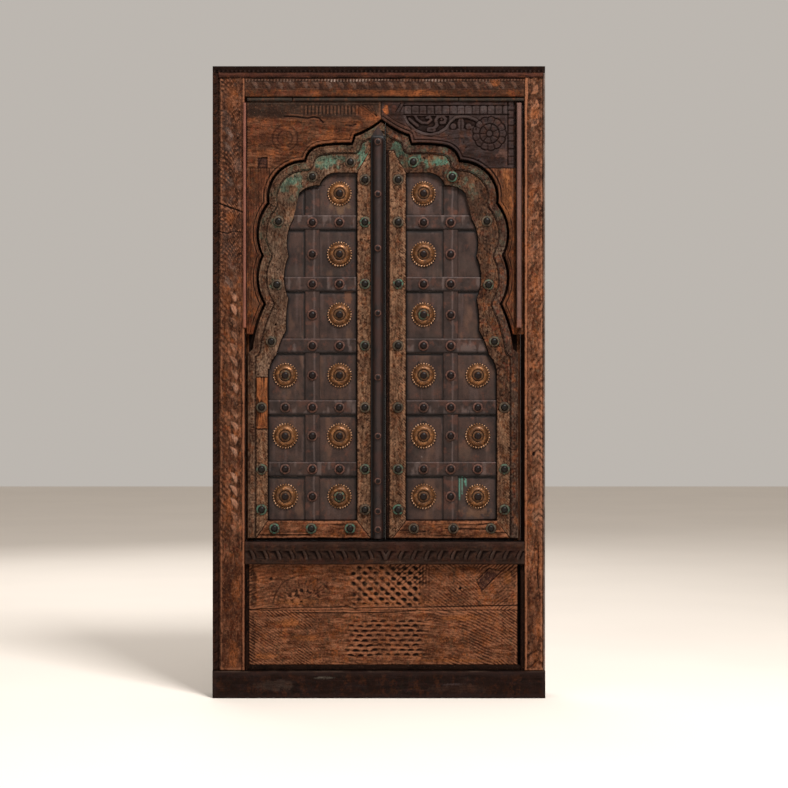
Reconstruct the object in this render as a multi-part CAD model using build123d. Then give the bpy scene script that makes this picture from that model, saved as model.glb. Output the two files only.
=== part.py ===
from build123d import *
from math import cos, pi, sin
import os

# Axes: X to the right seen from the front, Y away from the viewer, Z up.
# The origin is under the middle of the sill. Y = 0 is the plane of the leaf pivots.

# Outline of the window
WIDTH = 1000
HEIGHT = 1900
SILL_DEPTH = 120
SILL_HEIGHT = 82

# Outer edging strips
EDGE_LEFT = 18
EDGE_RIGHT = 5
EDGE_TOP = 20
EDGE_SET_BACK = 2

# Jambs, head and transom
LEFT_JAMB_WIDTH = 79
RIGHT_JAMB_WIDTH = 57
FRAME_FRONT = 52
FRAME_BACK = 30
HEAD_HEIGHT = 72
HEAD_LIP = 18
TRANSOM_BOTTOM = 402
TRANSOM_HEIGHT = 68
TRANSOM_FRONT = 57
CAP_FILLET_HEIGHT = 15
CAP_FILLET_PROUD = 3
TENON_LENGTH = 40
TENON_THICK = 24
TENON_SHOULDER = 12
PEG_SIZE = 12
PEG_PROUD = 3
PEG_REACH = 4

# Boards of the arch, in front of the leaves
ARCH_AXIS = 8
BOARD_FRONT = 42
BOARD_THICK = 28
BOARD_REBATE = 20
SPANDREL_HEIGHT = 214
SIDE_BOARD_LIFT = 49
BEAD_STRIP_WIDTH = 11
BEAD_STRIP_LIFT = 18
BEAD_STRIP_PROUD = 5
LEFT_BOARD_INSET = 5
RIGHT_BOARD_INSET = 32
RIGHT_STRIP_INSET = 8
RIGHT_STRIP_WIDTH = 17
HEAD_FILLET_HEIGHT = 11
HEAD_FILLET_DROP = 2
HEAD_FILLET_PROUD = 7
HEAD_FILLET_JOINTS = (-260, 240)

# Apron under the transom
APRON_FRONT = 36
APRON_THICK = 24
APRON_JOINT = 262
APRON_FILLET_WIDTH = 11
APRON_FOOT_HEIGHT = 15
APRON_FILLET_PROUD = 8
APRON_RIGHT_GAP = 9
BATTEN_WIDTH = 60
BATTEN_THICK = 26

# Leaves
LEFT_LEAF_GAP = 7
RIGHT_LEAF_GAP = 17
MEETING_LINE = 20
MEETING_GAP = 3
BOARD_MEETING_GAP = 1
LEAF_BOTTOM_GAP = 8
BOARD_BOTTOM_GAP = 2
BOARD_TOP_GAP = 5
LEAF_BOARD_THICK = 24
LEAF_BOARDS = 3
PIVOT_INSET = 5
HINGE_STILE_WIDTH = 60
PIVOT_RADIUS = 9
PIVOT_LENGTH = 30
PIVOT_CLEARANCE = 0.3
PIVOT_SIDES = 12
ARCH_GAP = 7
REBATE_CLEARANCE = 2

# Timber fronts of the leaves
BORDER_THICK = 16
CUSP_MOULDING_WIDTH = 25
CUSP_MOULDING_THICK = 20
OUTER_STILE_WIDTH = 61
RIGHT_STILE_WIDTH = 65
PANEL_NEAR_EDGE = 74
BOTTOM_RAIL_HEIGHT = 54
NEAR_MITRE_FOOT = 32
LEFT_STILE_DROP = 80
RIGHT_STILE_DROP = 179
PATCH_LENGTH = 157
MEETING_POINT_OFFSET = 36
MEETING_POINT_SHARE = 0.444
MEETING_BEAD_WIDTH = 9
MEETING_BEAD_PROUD = 4

# Ledges across the back
LEDGE_HEIGHT = 75
LEDGE_THICK = 22
LEDGE_END_GAP = 130
LEDGE_INSET = 36

# Iron on the leaves
SHEET_THICK = 2
UPRIGHT_WIDTH = 44
UPRIGHT_THICK = 2.5
STRAP_HEIGHT = 43
STRAP_THICK = 4.5
STRAP_COUNT = 5
STRAP_FOOT_GAP = 155
STRAP_HEAD_GAP = 149

# Rosettes and nails
ROSETTE_RADIUS = 40
ROSETTE_ROOT_RADIUS = 36
ROSETTE_TEETH = 16
ROSETTE_RIM_THICK = 2.5
ROSETTE_CROWN_FOOT = 34
ROSETTE_CROWN_RADIUS = 20
ROSETTE_CROWN_SIDES = 8
ROSETTE_HEIGHT = 12
ROSETTE_ROWS = 6
ROSETTE_FOOT_GAP = 72
ROSETTE_HEAD_GAP = 62
OUTER_ROSETTE_ROWS = 3
OUTER_STUD_ROWS = 2
COLUMN_SHARES = (0.197, 0.502, 0.807)
NAIL_RADIUS = 16
NAIL_HEIGHT = 9
STUD_RADIUS = 16
STUD_TOP_RADIUS = 6
STUD_HEIGHT = 11
STUD_SIDES = 6
MEETING_STUD_INSET = 24
STILE_STUD_OFFSET = 42
RAIL_STUD_HEIGHT = 30
LOW_STUD_LIFT = 33
HIGH_STUD_DROP = 21

# Cover bar on the meeting line
BAR_WIDTH = 43
BAR_BASE_THICK = 6
BAR_ROUND_WIDTH = 31
BAR_ROUND_HEIGHT = 17
BAR_FLAT_WIDTH = 15
BAR_SHOULDER = 10
BAR_TOP_GAP = 13
BAR_POINT = 34
BAR_STUD_RADIUS = 11
BAR_STUD_HEIGHT = 6
BAR_STUD_SHARES = (0.023, 0.067, 0.140, 0.249, 0.391, 0.546, 0.703, 0.834, 0.960)

# Gouge cuts of the carved bands: how deep, how wide, how long, how far apart and how far they lean
GOUGE_DEPTH = 4
JAMB_GOUGE_WIDTH = 11
JAMB_GOUGE_LENGTH = 46
JAMB_GOUGE_PITCH = 39
JAMB_GOUGE_LEAN = 32
LEFT_BAND_INSET = 46
RIGHT_BAND_INSET = 38
RIGHT_GOUGE_LENGTH = 26
HEAD_GOUGE_WIDTH = 7
HEAD_GOUGE_LENGTH = 24
HEAD_GOUGE_PITCH = 26
HEAD_GOUGE_LEAN = 45
HEAD_BAND_LIFT = 34.5
TRANSOM_GOUGE_WIDTH = 9
TRANSOM_GOUGE_LENGTH = 34
TRANSOM_GOUGE_PITCH = 39.5
TRANSOM_GOUGE_LEAN = 27
TRANSOM_BAND_LIFT = 27.5
TRANSOM_MIDDLE = 38
DENTIL_PITCH = 21.5
DENTIL_WIDTH = 12
DENTIL_HEIGHT = 23
DENTIL_DROP = 28
DENTIL_DEPTH = 3
DENTIL_COUNT = 15
DENTIL_START = 80

# Cusped arch: share of the half width from the axis, share of the rise, bulge of the arc up to it
# as a share of its chord
ARCH_SPRING = 1045
ARCH_CROWN_GAP = 73
ARCH_LINE = (
    (1.000, -0.012, 0), (0.962, 0.006, 0), (0.862, 0.204, 0.042), (0.877, 0.416, 0.13),
    (0.835, 0.642, 0.153), (0.561, 0.823, 0.24), (0.456, 0.891, 0.174), (0.210, 0.897, 0.03),
    (0.193, 0.937, 0), (0.000, 1.000, -0.045),
)

# Inner edge of the arch border, in the same shares, from the stile up to the meeting stile
PANEL_LINE = (
    (0.838, -0.080, 0), (0.787, -0.020, 0.086), (0.714, 0.087, 0.038), (0.696, 0.227, 0.031),
    (0.694, 0.412, 0.11), (0.659, 0.577, 0.105), (0.465, 0.722, 0.268), (0.352, 0.778, 0.15),
    (0.120, 0.778, 0),
)

# Studs on the arch border, in the same shares
ARCH_STUD_SHARES = ((0.232, 0.825), (0.516, 0.761), (0.770, 0.566), (0.782, 0.288), (0.824, 0.040))
RAIL_STUD_SHARES = (0.80, 0.525, 0.235)

# Lines worked out from the sizes above
EDGE_X = WIDTH / 2
JAMB_TOP = HEIGHT - EDGE_TOP
LEFT_JAMB_OUTER = -EDGE_X + EDGE_LEFT
RIGHT_JAMB_OUTER = EDGE_X - EDGE_RIGHT
LEFT_OPENING = LEFT_JAMB_OUTER + LEFT_JAMB_WIDTH
RIGHT_OPENING = RIGHT_JAMB_OUTER - RIGHT_JAMB_WIDTH
HEAD_BOTTOM = JAMB_TOP - HEAD_HEIGHT
HEAD_REAR_BOTTOM = HEAD_BOTTOM - HEAD_LIP
TRANSOM_TOP = TRANSOM_BOTTOM + TRANSOM_HEIGHT
PEG_FRONT = TENON_THICK / 2 + PEG_REACH
LEFT_LEAF_EDGE = LEFT_OPENING + LEFT_LEAF_GAP
RIGHT_LEAF_EDGE = RIGHT_OPENING - RIGHT_LEAF_GAP
LEAF_BOTTOM = TRANSOM_TOP + LEAF_BOTTOM_GAP
BOARD_BOTTOM = TRANSOM_TOP + BOARD_BOTTOM_GAP
BOARD_TOP = HEAD_REAR_BOTTOM - BOARD_TOP_GAP
LEAF_FRONT = LEAF_BOARD_THICK / 2
BOARD_BACK = BOARD_FRONT - BOARD_THICK
ARCH_CROWN = HEAD_BOTTOM - ARCH_CROWN_GAP
ARCH_RISE = ARCH_CROWN - ARCH_SPRING
SPANDREL_BOTTOM = HEAD_BOTTOM - SPANDREL_HEIGHT
SIDE_BOARD_BOTTOM = ARCH_SPRING + SIDE_BOARD_LIFT
LEFT_BOARD_EDGE = LEFT_OPENING + LEFT_BOARD_INSET
RIGHT_BOARD_EDGE = RIGHT_OPENING - RIGHT_BOARD_INSET
LEFT_STRIP = (LEFT_BOARD_EDGE - BEAD_STRIP_WIDTH, LEFT_BOARD_EDGE)
RIGHT_STRIP = (RIGHT_OPENING - RIGHT_STRIP_INSET - RIGHT_STRIP_WIDTH, RIGHT_OPENING - RIGHT_STRIP_INSET)
STRIP_SPAN = (SIDE_BOARD_BOTTOM + BEAD_STRIP_LIFT, HEAD_REAR_BOTTOM)
STRIP_BACK = -(BOARD_BACK + BOARD_REBATE)
BORDER_FRONT = LEAF_FRONT + BORDER_THICK
RAIL_TOP = LEAF_BOTTOM + BOTTOM_RAIL_HEIGHT
SHEET_FRONT = LEAF_FRONT + SHEET_THICK
UPRIGHT_FRONT = SHEET_FRONT + UPRIGHT_THICK
STRAP_FRONT = SHEET_FRONT + STRAP_THICK
PANEL_TOP = ARCH_SPRING + PANEL_LINE[-1][1] * ARCH_RISE
MEETING_STILE_PEAK = PANEL_TOP + MEETING_POINT_SHARE * (ARCH_CROWN - PANEL_TOP)
BAR_TOP = ARCH_CROWN - BAR_TOP_GAP
PANEL_WIDTH = ARCH_AXIS - LEFT_LEAF_EDGE - OUTER_STILE_WIDTH - PANEL_NEAR_EDGE
COLUMNS = [PANEL_NEAR_EDGE + share * PANEL_WIDTH for share in COLUMN_SHARES]
INNER_COLUMN, UPRIGHT_OFFSET, OUTER_COLUMN = COLUMNS
APRON_LEFT = LEFT_OPENING + APRON_FILLET_WIDTH
RIGHT_FILLET = RIGHT_OPENING - APRON_FILLET_WIDTH
APRON_RIGHT = RIGHT_FILLET - APRON_RIGHT_GAP
APRON_FOOT = SILL_HEIGHT + APRON_FOOT_HEIGHT
APRON_BACK = APRON_FRONT - APRON_THICK
APRON_FILLET_FRONT = APRON_FRONT + APRON_FILLET_PROUD
BELOW = 100


def rows(count, foot_gap, head_gap):
    """Heights of evenly spaced rows between the bottom rail and the top of the iron."""
    low = RAIL_TOP + foot_gap
    pitch = (PANEL_TOP - head_gap - low) / (count - 1)
    return [low + row * pitch for row in range(count)]


STRAP_HEIGHTS = rows(STRAP_COUNT, STRAP_FOOT_GAP, STRAP_HEAD_GAP)
ROSETTE_HEIGHTS = rows(ROSETTE_ROWS, ROSETTE_FOOT_GAP, ROSETTE_HEAD_GAP)


def area(x0, x1, z0, z1):
    """A rectangle on the front plane, between two X and two Z values."""
    return Pos((x0 + x1) / 2, (z0 + z1) / 2) * Rectangle(abs(x1 - x0), abs(z1 - z0))


def outline(points):
    """A flat shape on the front plane with straight sides."""
    return make_face(Polyline(*points, close=True))


def raised(shape, back, front):
    """A solid of a flat shape, from one depth to another, both measured forward of the pivot plane."""
    return extrude(Plane.XZ.offset(back) * shape, amount=front - back)


def slab(x0, x1, front, back, z0, z1):
    """A block whose front and back are given as distances before and behind the pivot plane."""
    return raised(area(x0, x1, z0, z1), -back, front)


class Leaf:
    """The lines that one leaf is set out from. Side is -1 for the left leaf and 1 for the right."""

    def __init__(self, side, edge, stile_width, stile_drop):
        self.side = side
        self.edge = edge
        self.half = abs(edge - ARCH_AXIS)
        self.meeting = MEETING_LINE + side * MEETING_GAP / 2
        self.pivot = edge - side * PIVOT_INSET
        self.reveal = self.pivot + side * (LEAF_BOARD_THICK / 2 + REBATE_CLEARANCE)
        self.stile = edge - side * stile_width
        self.stile_top = ARCH_SPRING - stile_drop
        self.panel_near = ARCH_AXIS + side * PANEL_NEAR_EDGE

    def at(self, across, up):
        """The point at a share of the half width and a share of the rise of the arch."""
        return (ARCH_AXIS + self.side * across * self.half, ARCH_SPRING + up * ARCH_RISE)

    def column(self, offset):
        """The X of a line at a distance from the arch axis, on this leaf's side."""
        return ARCH_AXIS + self.side * offset

    def inward(self, distance):
        """The X of a line at a distance from the leaf's outer edge."""
        return self.edge - self.side * distance


LEFT = Leaf(-1, LEFT_LEAF_EDGE, OUTER_STILE_WIDTH, LEFT_STILE_DROP)
RIGHT = Leaf(1, RIGHT_LEAF_EDGE, RIGHT_STILE_WIDTH, RIGHT_STILE_DROP)
LEAVES = {"left_leaf": LEFT, "right_leaf": RIGHT}


def lobes(leaf, line):
    """Arcs through the points of a cusped line, each bulging outward by its own amount."""
    edges = []
    for start, end in zip(line, line[1:]):
        p = Vector(*leaf.at(*start[:2]))
        q = Vector(*leaf.at(*end[:2]))
        bulge = end[2]
        if bulge == 0:
            edges.append(Line(p, q))
            continue
        chord = q - p
        outward = Vector(chord.Y, -chord.X) * leaf.side
        edges.append(ThreePointArc(p, (p + q) / 2 + outward * bulge, q))
    return edges


def leaf_shape():
    """The outline of the closed pair of leaves, carried well below the transom."""
    low = TRANSOM_BOTTOM - BELOW
    left_foot = LEFT.at(*ARCH_LINE[0][:2])
    right_foot = RIGHT.at(*ARCH_LINE[0][:2])
    corners = [(left_foot[0], low), (right_foot[0], low)]
    edges = lobes(LEFT, ARCH_LINE) + lobes(RIGHT, ARCH_LINE)
    edges += [Line(left_foot, corners[0]), Line(corners[0], corners[1]), Line(corners[1], right_foot)]
    return make_face(Curve() + edges)


LEAF_SHAPE = leaf_shape()
BOARD_CUT = offset(LEAF_SHAPE, amount=ARCH_GAP, kind=Kind.INTERSECTION)
INSIDE_MOULDING = offset(LEAF_SHAPE, amount=-CUSP_MOULDING_WIDTH, kind=Kind.ARC)


def half(leaf, bottom=None, top=HEIGHT):
    """The rectangle that holds everything on one leaf's side of the meeting line."""
    return area(leaf.meeting, leaf.side * WIDTH, LEAF_BOTTOM if bottom is None else bottom, top)


def panel_shape(leaf):
    """The opening of the timber border, which shows the iron."""
    low = RAIL_TOP
    first = leaf.at(*PANEL_LINE[0][:2])
    last = leaf.at(*PANEL_LINE[-1][:2])
    near = (leaf.panel_near, last[1])
    base_near = (leaf.panel_near, low)
    base_far = (leaf.stile, low)
    shoulder = (leaf.stile, first[1])
    corners = [last, near, base_near, base_far, shoulder, first]
    straight = [Line(a, b) for a, b in zip(corners, corners[1:]) if Vector(*a) != Vector(*b)]
    return make_face(Curve() + lobes(leaf, PANEL_LINE) + straight)


PANELS = {name: panel_shape(leaf) for name, leaf in LEAVES.items()}


def tenon(x0, x1, z0, z1):
    """A tenon in the middle of the frame's thickness."""
    return slab(x0, x1, TENON_THICK / 2, TENON_THICK / 2, z0, z1)


def foot_tenon(jamb_inner, jamb_outer):
    """The tenon at the foot of a jamb, which stands in the sill."""
    x0, x1 = sorted((jamb_inner, jamb_outer))
    return tenon(x0 + TENON_SHOULDER, x1 - TENON_SHOULDER, SILL_HEIGHT - TENON_LENGTH, SILL_HEIGHT)


def rail_tenons(bottom, top):
    """The two tenons of a rail that spans between the jambs."""
    low = bottom + TENON_SHOULDER
    high = top - TENON_SHOULDER
    left = tenon(LEFT_OPENING - TENON_LENGTH, LEFT_OPENING, low, high)
    return left + tenon(RIGHT_OPENING, RIGHT_OPENING + TENON_LENGTH, low, high)


def pegs(back):
    """Square pegs driven in from the back, through the tenons of the head and the transom."""
    reach = PEG_SIZE / 2
    columns = (LEFT_OPENING - TENON_LENGTH / 2, RIGHT_OPENING + TENON_LENGTH / 2)
    heights = ((HEAD_BOTTOM + JAMB_TOP) / 2, (TRANSOM_BOTTOM + TRANSOM_TOP) / 2)
    return [
        slab(x - reach, x + reach, PEG_FRONT, back, z - reach, z + reach) for z in heights for x in columns
    ]


def socket(leaf, z0, z1):
    """The socket of a wooden pivot, shaved to as many sides as the pivot, whose corners turn inside it."""
    plan = RegularPolygon(PIVOT_RADIUS + PIVOT_CLEARANCE, PIVOT_SIDES, major_radius=False)
    return Pos(leaf.pivot, 0, z0) * extrude(plan, amount=z1 - z0)


def gouge(x, z, front, width, length, lean):
    """A V-shaped cut in a face, centred at a point; its top leans to the left by an angle."""
    turn = pi * lean / 180
    plane = Plane((x, -front, z), x_dir=(cos(turn), 0, sin(turn)), z_dir=(-sin(turn), 0, cos(turn)))
    section = make_face(Polyline((-width / 2, 0), (width / 2, 0), (0, GOUGE_DEPTH), close=True))
    return extrude(plane * section, amount=length / 2, both=True)


def spaced(start, end, pitch):
    """Middles a pitch apart that fill the span from start to end evenly."""
    count = int((end - start) / pitch)
    rest = (end - start - (count - 1) * pitch) / 2
    return [start + rest + i * pitch for i in range(count)]


def jamb_gouges(x, length, lean):
    heights = spaced(SILL_HEIGHT, JAMB_TOP - CAP_FILLET_HEIGHT, JAMB_GOUGE_PITCH)
    return [gouge(x, z, FRAME_FRONT, JAMB_GOUGE_WIDTH, length, lean) for z in heights]


def head_gouges():
    z = HEAD_BOTTOM + HEAD_BAND_LIFT
    places = spaced(LEFT_OPENING, RIGHT_OPENING, HEAD_GOUGE_PITCH)
    return [gouge(x, z, FRAME_FRONT, HEAD_GOUGE_WIDTH, HEAD_GOUGE_LENGTH, HEAD_GOUGE_LEAN) for x in places]


def transom_gouges():
    """Gouges that lean away from the middle of the transom on both sides."""
    z = TRANSOM_BOTTOM + TRANSOM_BAND_LIFT
    cuts = []
    for x in spaced(LEFT_OPENING, RIGHT_OPENING, TRANSOM_GOUGE_PITCH):
        lean = TRANSOM_GOUGE_LEAN if x < TRANSOM_MIDDLE else -TRANSOM_GOUGE_LEAN
        cuts.append(gouge(x, z, TRANSOM_FRONT, TRANSOM_GOUGE_WIDTH, TRANSOM_GOUGE_LENGTH, lean))
    return cuts


def bottom_sill():
    half_depth = SILL_DEPTH / 2
    body = slab(-EDGE_X, EDGE_X, half_depth, half_depth, 0, SILL_HEIGHT)
    body -= foot_tenon(LEFT_OPENING, LEFT_JAMB_OUTER)
    return body - foot_tenon(RIGHT_OPENING, RIGHT_JAMB_OUTER)


def jamb(inner, outer):
    """A jamb with its foot tenon and the mortises of the head and the transom."""
    body = slab(inner, outer, FRAME_FRONT, FRAME_BACK, SILL_HEIGHT, JAMB_TOP)
    body += foot_tenon(inner, outer)
    body -= rail_tenons(HEAD_BOTTOM, JAMB_TOP)
    body -= rail_tenons(TRANSOM_BOTTOM, TRANSOM_TOP)
    return body - pegs(FRAME_BACK)


def left_jamb():
    """The left jamb, carved in front, rebated at the back for the leaf and in front for the bead strip."""
    body = jamb(LEFT_OPENING, LEFT_JAMB_OUTER)
    body -= jamb_gouges(LEFT_OPENING - LEFT_BAND_INSET, JAMB_GOUGE_LENGTH, JAMB_GOUGE_LEAN)
    body -= slab(LEFT.reveal, LEFT_OPENING, BOARD_BACK, FRAME_BACK, TRANSOM_TOP, HEAD_REAR_BOTTOM)
    return body - slab(LEFT_STRIP[0], LEFT_OPENING, FRAME_FRONT, STRIP_BACK, *STRIP_SPAN)


def right_jamb():
    """The right jamb, with a cheek at the back that closes the wider gap beside the leaf."""
    body = jamb(RIGHT_OPENING, RIGHT_JAMB_OUTER)
    body -= jamb_gouges(RIGHT_OPENING + RIGHT_BAND_INSET, RIGHT_GOUGE_LENGTH, -JAMB_GOUGE_LEAN)
    return body + slab(RIGHT.reveal, RIGHT_OPENING, BOARD_BACK, FRAME_BACK, TRANSOM_TOP, HEAD_REAR_BOTTOM)


def head_rail():
    """The head: a cap fillet, a carved face, and a deeper rear part that holds the upper pivots."""
    body = slab(LEFT_OPENING, RIGHT_OPENING, FRAME_FRONT, FRAME_BACK, HEAD_BOTTOM, JAMB_TOP)
    body += slab(LEFT_OPENING, RIGHT_OPENING, BOARD_BACK, FRAME_BACK, HEAD_REAR_BOTTOM, HEAD_BOTTOM)
    body += rail_tenons(HEAD_BOTTOM, JAMB_TOP)
    for leaf in LEAVES.values():
        body -= socket(leaf, HEAD_REAR_BOTTOM, BOARD_TOP + PIVOT_LENGTH + PIVOT_CLEARANCE)
    return body - pegs(FRAME_BACK) - head_gouges()


def cap_fillet():
    """The fillet along the top of the jambs and the head."""
    bottom = JAMB_TOP - CAP_FILLET_HEIGHT
    front = FRAME_FRONT + CAP_FILLET_PROUD
    return slab(LEFT_JAMB_OUTER, RIGHT_JAMB_OUTER, front, -FRAME_FRONT, bottom, JAMB_TOP)


def transom_bar():
    """The bar under the leaves, whose top holds the lower pivots."""
    body = slab(LEFT_OPENING, RIGHT_OPENING, TRANSOM_FRONT, FRAME_BACK, TRANSOM_BOTTOM, TRANSOM_TOP)
    body += rail_tenons(TRANSOM_BOTTOM, TRANSOM_TOP)
    for leaf in LEAVES.values():
        body -= socket(leaf, BOARD_BOTTOM - PIVOT_LENGTH - PIVOT_CLEARANCE, TRANSOM_TOP)
    return body - pegs(FRAME_BACK) - transom_gouges()


def edge_strip(x0, x1, z0, z1):
    return slab(x0, x1, FRAME_FRONT - EDGE_SET_BACK, FRAME_BACK, z0, z1)


def board_edge(side):
    return LEFT_BOARD_EDGE if side < 0 else RIGHT_BOARD_EDGE


def arch_board(side, bottom, top):
    """A board beside the arch: its front stops at the bead strip, its back runs on to the jamb."""
    jamb_line = LEFT_OPENING if side < 0 else RIGHT_OPENING
    front = raised(area(ARCH_AXIS, board_edge(side), bottom, top) - BOARD_CUT, BOARD_BACK, BOARD_FRONT)
    tongue = area(board_edge(side), jamb_line, bottom, top)
    return front + raised(tongue, BOARD_BACK, BOARD_BACK + BOARD_REBATE)


def dentil_gaps():
    """The gaps between the dentils under the head on the right spandrel."""
    gap = DENTIL_PITCH - DENTIL_WIDTH
    top = HEAD_BOTTOM - DENTIL_DROP
    lefts = [ARCH_AXIS + DENTIL_START + i * DENTIL_PITCH for i in range(DENTIL_COUNT)]
    return [
        slab(x, x + gap, BOARD_FRONT, DENTIL_DEPTH - BOARD_FRONT, top - DENTIL_HEIGHT, top) for x in lefts
    ]


def bead_strip(span):
    """The bead strip beside the arch boards, half let into the rebate behind it."""
    front = FRAME_FRONT + BEAD_STRIP_PROUD
    return slab(*span, front, STRIP_BACK, *STRIP_SPAN)


def head_fillet():
    """The moulding over the top of the arch boards, in three lengths."""
    top = HEAD_BOTTOM - HEAD_FILLET_DROP
    joints = (LEFT_BOARD_EDGE, *HEAD_FILLET_JOINTS, RIGHT_OPENING)
    return [
        slab(x0, x1, BOARD_FRONT + HEAD_FILLET_PROUD, -BOARD_FRONT, top - HEAD_FILLET_HEIGHT, top)
        for x0, x1 in zip(joints, joints[1:])
    ]


def apron_board(bottom, top):
    return slab(APRON_LEFT, APRON_RIGHT, APRON_FRONT, -APRON_BACK, bottom, top)


def apron_fillets():
    """The two upright fillets at the ends of the apron."""
    spans = ((LEFT_OPENING, APRON_LEFT), (RIGHT_FILLET, RIGHT_OPENING))
    return [slab(*span, APRON_FILLET_FRONT, -APRON_BACK, SILL_HEIGHT, TRANSOM_BOTTOM) for span in spans]


def apron_bottom_fillet():
    return slab(APRON_LEFT, RIGHT_FILLET, APRON_FILLET_FRONT, -APRON_BACK, SILL_HEIGHT, APRON_FOOT)


def apron_battens():
    """Upright battens behind the apron, standing on the sill under the transom."""
    width = BATTEN_WIDTH / 2
    centres = (LEFT_OPENING + width, (LEFT_OPENING + RIGHT_OPENING) / 2, RIGHT_OPENING - width)
    back = BATTEN_THICK - APRON_BACK
    return [slab(x - width, x + width, APRON_BACK, back, SILL_HEIGHT, TRANSOM_BOTTOM) for x in centres]


def leaf_boards(leaf):
    """The upright boards at the back of a leaf, from the hinge stile to the meeting line."""
    start = leaf.pivot - leaf.side * HINGE_STILE_WIDTH
    end = MEETING_LINE + leaf.side * BOARD_MEETING_GAP / 2
    step = (end - start) / LEAF_BOARDS
    return [
        slab(start + i * step, start + (i + 1) * step, LEAF_FRONT, LEAF_FRONT, BOARD_BOTTOM, BOARD_TOP)
        for i in range(LEAF_BOARDS)
    ]


def hinge_stile(leaf):
    """The stile that turns: its outer edge is shaved round about the pivots at its two ends."""
    flat = Pos(-leaf.side * HINGE_STILE_WIDTH / 2, 0) * Rectangle(HINGE_STILE_WIDTH, LEAF_BOARD_THICK)
    plan = flat + RegularPolygon(LEAF_BOARD_THICK / 2, PIVOT_SIDES)
    pin = extrude(RegularPolygon(PIVOT_RADIUS, PIVOT_SIDES), amount=PIVOT_LENGTH)
    body = Pos(0, 0, BOARD_BOTTOM) * extrude(plan, amount=BOARD_TOP - BOARD_BOTTOM)
    body += Pos(0, 0, BOARD_BOTTOM - PIVOT_LENGTH) * pin + Pos(0, 0, BOARD_TOP) * pin
    return Pos(leaf.pivot, 0, 0) * body


def ledges(leaf):
    """The ledges nailed across the back of a leaf."""
    outer = leaf.pivot - leaf.side * LEDGE_INSET
    inner = leaf.meeting + leaf.side * LEDGE_INSET
    back = LEAF_FRONT + LEDGE_THICK
    half_height = LEDGE_HEIGHT / 2
    ends = (BOARD_BOTTOM + LEDGE_END_GAP, BOARD_TOP - LEDGE_END_GAP)
    middles = (ends[0], sum(ends) / 2, ends[1])
    return [slab(outer, inner, -LEAF_FRONT, back, z - half_height, z + half_height) for z in middles]


def cusp_moulding(leaf):
    """The moulding that follows the arch and runs on down the outer edge of the leaf."""
    shape = (LEAF_SHAPE & half(leaf)) - INSIDE_MOULDING
    return raised(shape, LEAF_FRONT, LEAF_FRONT + CUSP_MOULDING_THICK)


def mitre_line(leaf):
    """The two ends of the mitre at the outer bottom corner."""
    return (leaf.inward(CUSP_MOULDING_WIDTH), LEAF_BOTTOM), (leaf.stile, RAIL_TOP)


def near_mitre(leaf):
    """The two ends of the mitre at the bottom of the meeting stile."""
    return (leaf.column(NEAR_MITRE_FOOT), LEAF_BOTTOM), (leaf.panel_near, RAIL_TOP)


def stile_shape(leaf):
    """The plain outer stile between the moulding and the iron, mitred to the bottom rail."""
    corner, heel = mitre_line(leaf)
    outer = leaf.inward(CUSP_MOULDING_WIDTH)
    return outline([corner, heel, (leaf.stile, leaf.stile_top), (outer, leaf.stile_top)])


def patch_shape(leaf):
    return area(leaf.stile, leaf.inward(CUSP_MOULDING_WIDTH), leaf.stile_top - PATCH_LENGTH, leaf.stile_top)


def outer_stile(leaf):
    shape = stile_shape(leaf) & INSIDE_MOULDING
    if leaf is LEFT:
        shape -= patch_shape(leaf)
    return raised(shape, LEAF_FRONT, BORDER_FRONT)


def stile_patch():
    """The newer piece let into the inner half of the left outer stile."""
    shape = patch_shape(LEFT) & INSIDE_MOULDING
    return raised(shape, LEAF_FRONT, BORDER_FRONT)


def bottom_rail(leaf):
    corner, heel = mitre_line(leaf)
    near_corner, near_heel = near_mitre(leaf)
    return raised(outline([corner, heel, near_heel, near_corner]), LEAF_FRONT, BORDER_FRONT)


def meeting_edge(leaf):
    """The X where the meeting stile ends: the right one leaves room for its bead."""
    return leaf.meeting if leaf is LEFT else leaf.meeting + MEETING_BEAD_WIDTH


def stile_point(leaf):
    """The two ends of the slope at the top of the meeting stile."""
    return (leaf.panel_near, PANEL_TOP), (leaf.column(MEETING_POINT_OFFSET), MEETING_STILE_PEAK)


def meeting_stile(leaf):
    near_corner, near_heel = near_mitre(leaf)
    edge = meeting_edge(leaf)
    points = [(edge, LEAF_BOTTOM), near_corner, near_heel, *stile_point(leaf), (edge, MEETING_STILE_PEAK)]
    return raised(outline(points), LEAF_FRONT, BORDER_FRONT)


def meeting_bead():
    """The thin bead along the meeting edge of the right leaf."""
    x0 = RIGHT.meeting
    top = MEETING_STILE_PEAK
    front = BORDER_FRONT + MEETING_BEAD_PROUD
    return slab(x0, x0 + MEETING_BEAD_WIDTH, front, -LEAF_FRONT, LEAF_BOTTOM, top)


def arch_border(leaf, name):
    """The flat carved border between the moulding and the iron, above the stiles."""
    shape = (INSIDE_MOULDING & half(leaf)) - PANELS[name]
    shape -= outline([
        (leaf.meeting, LEAF_BOTTOM), (leaf.panel_near, LEAF_BOTTOM), *stile_point(leaf),
        (leaf.meeting, MEETING_STILE_PEAK),
    ])
    shape -= area(leaf.panel_near, leaf.side * WIDTH, LEAF_BOTTOM - BELOW, leaf.stile_top)
    return raised(shape, LEAF_FRONT, BORDER_FRONT)


def iron_sheets(leaf, name):
    """The two iron sheets of a leaf, which meet under the upright strap."""
    field = PANELS[name]
    seam = leaf.column(UPRIGHT_OFFSET)
    near = area(ARCH_AXIS, seam, 0, HEIGHT)
    far = area(seam, leaf.side * WIDTH, 0, HEIGHT)
    return [raised(field & part, LEAF_FRONT, SHEET_FRONT) for part in (near, far)]


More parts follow.
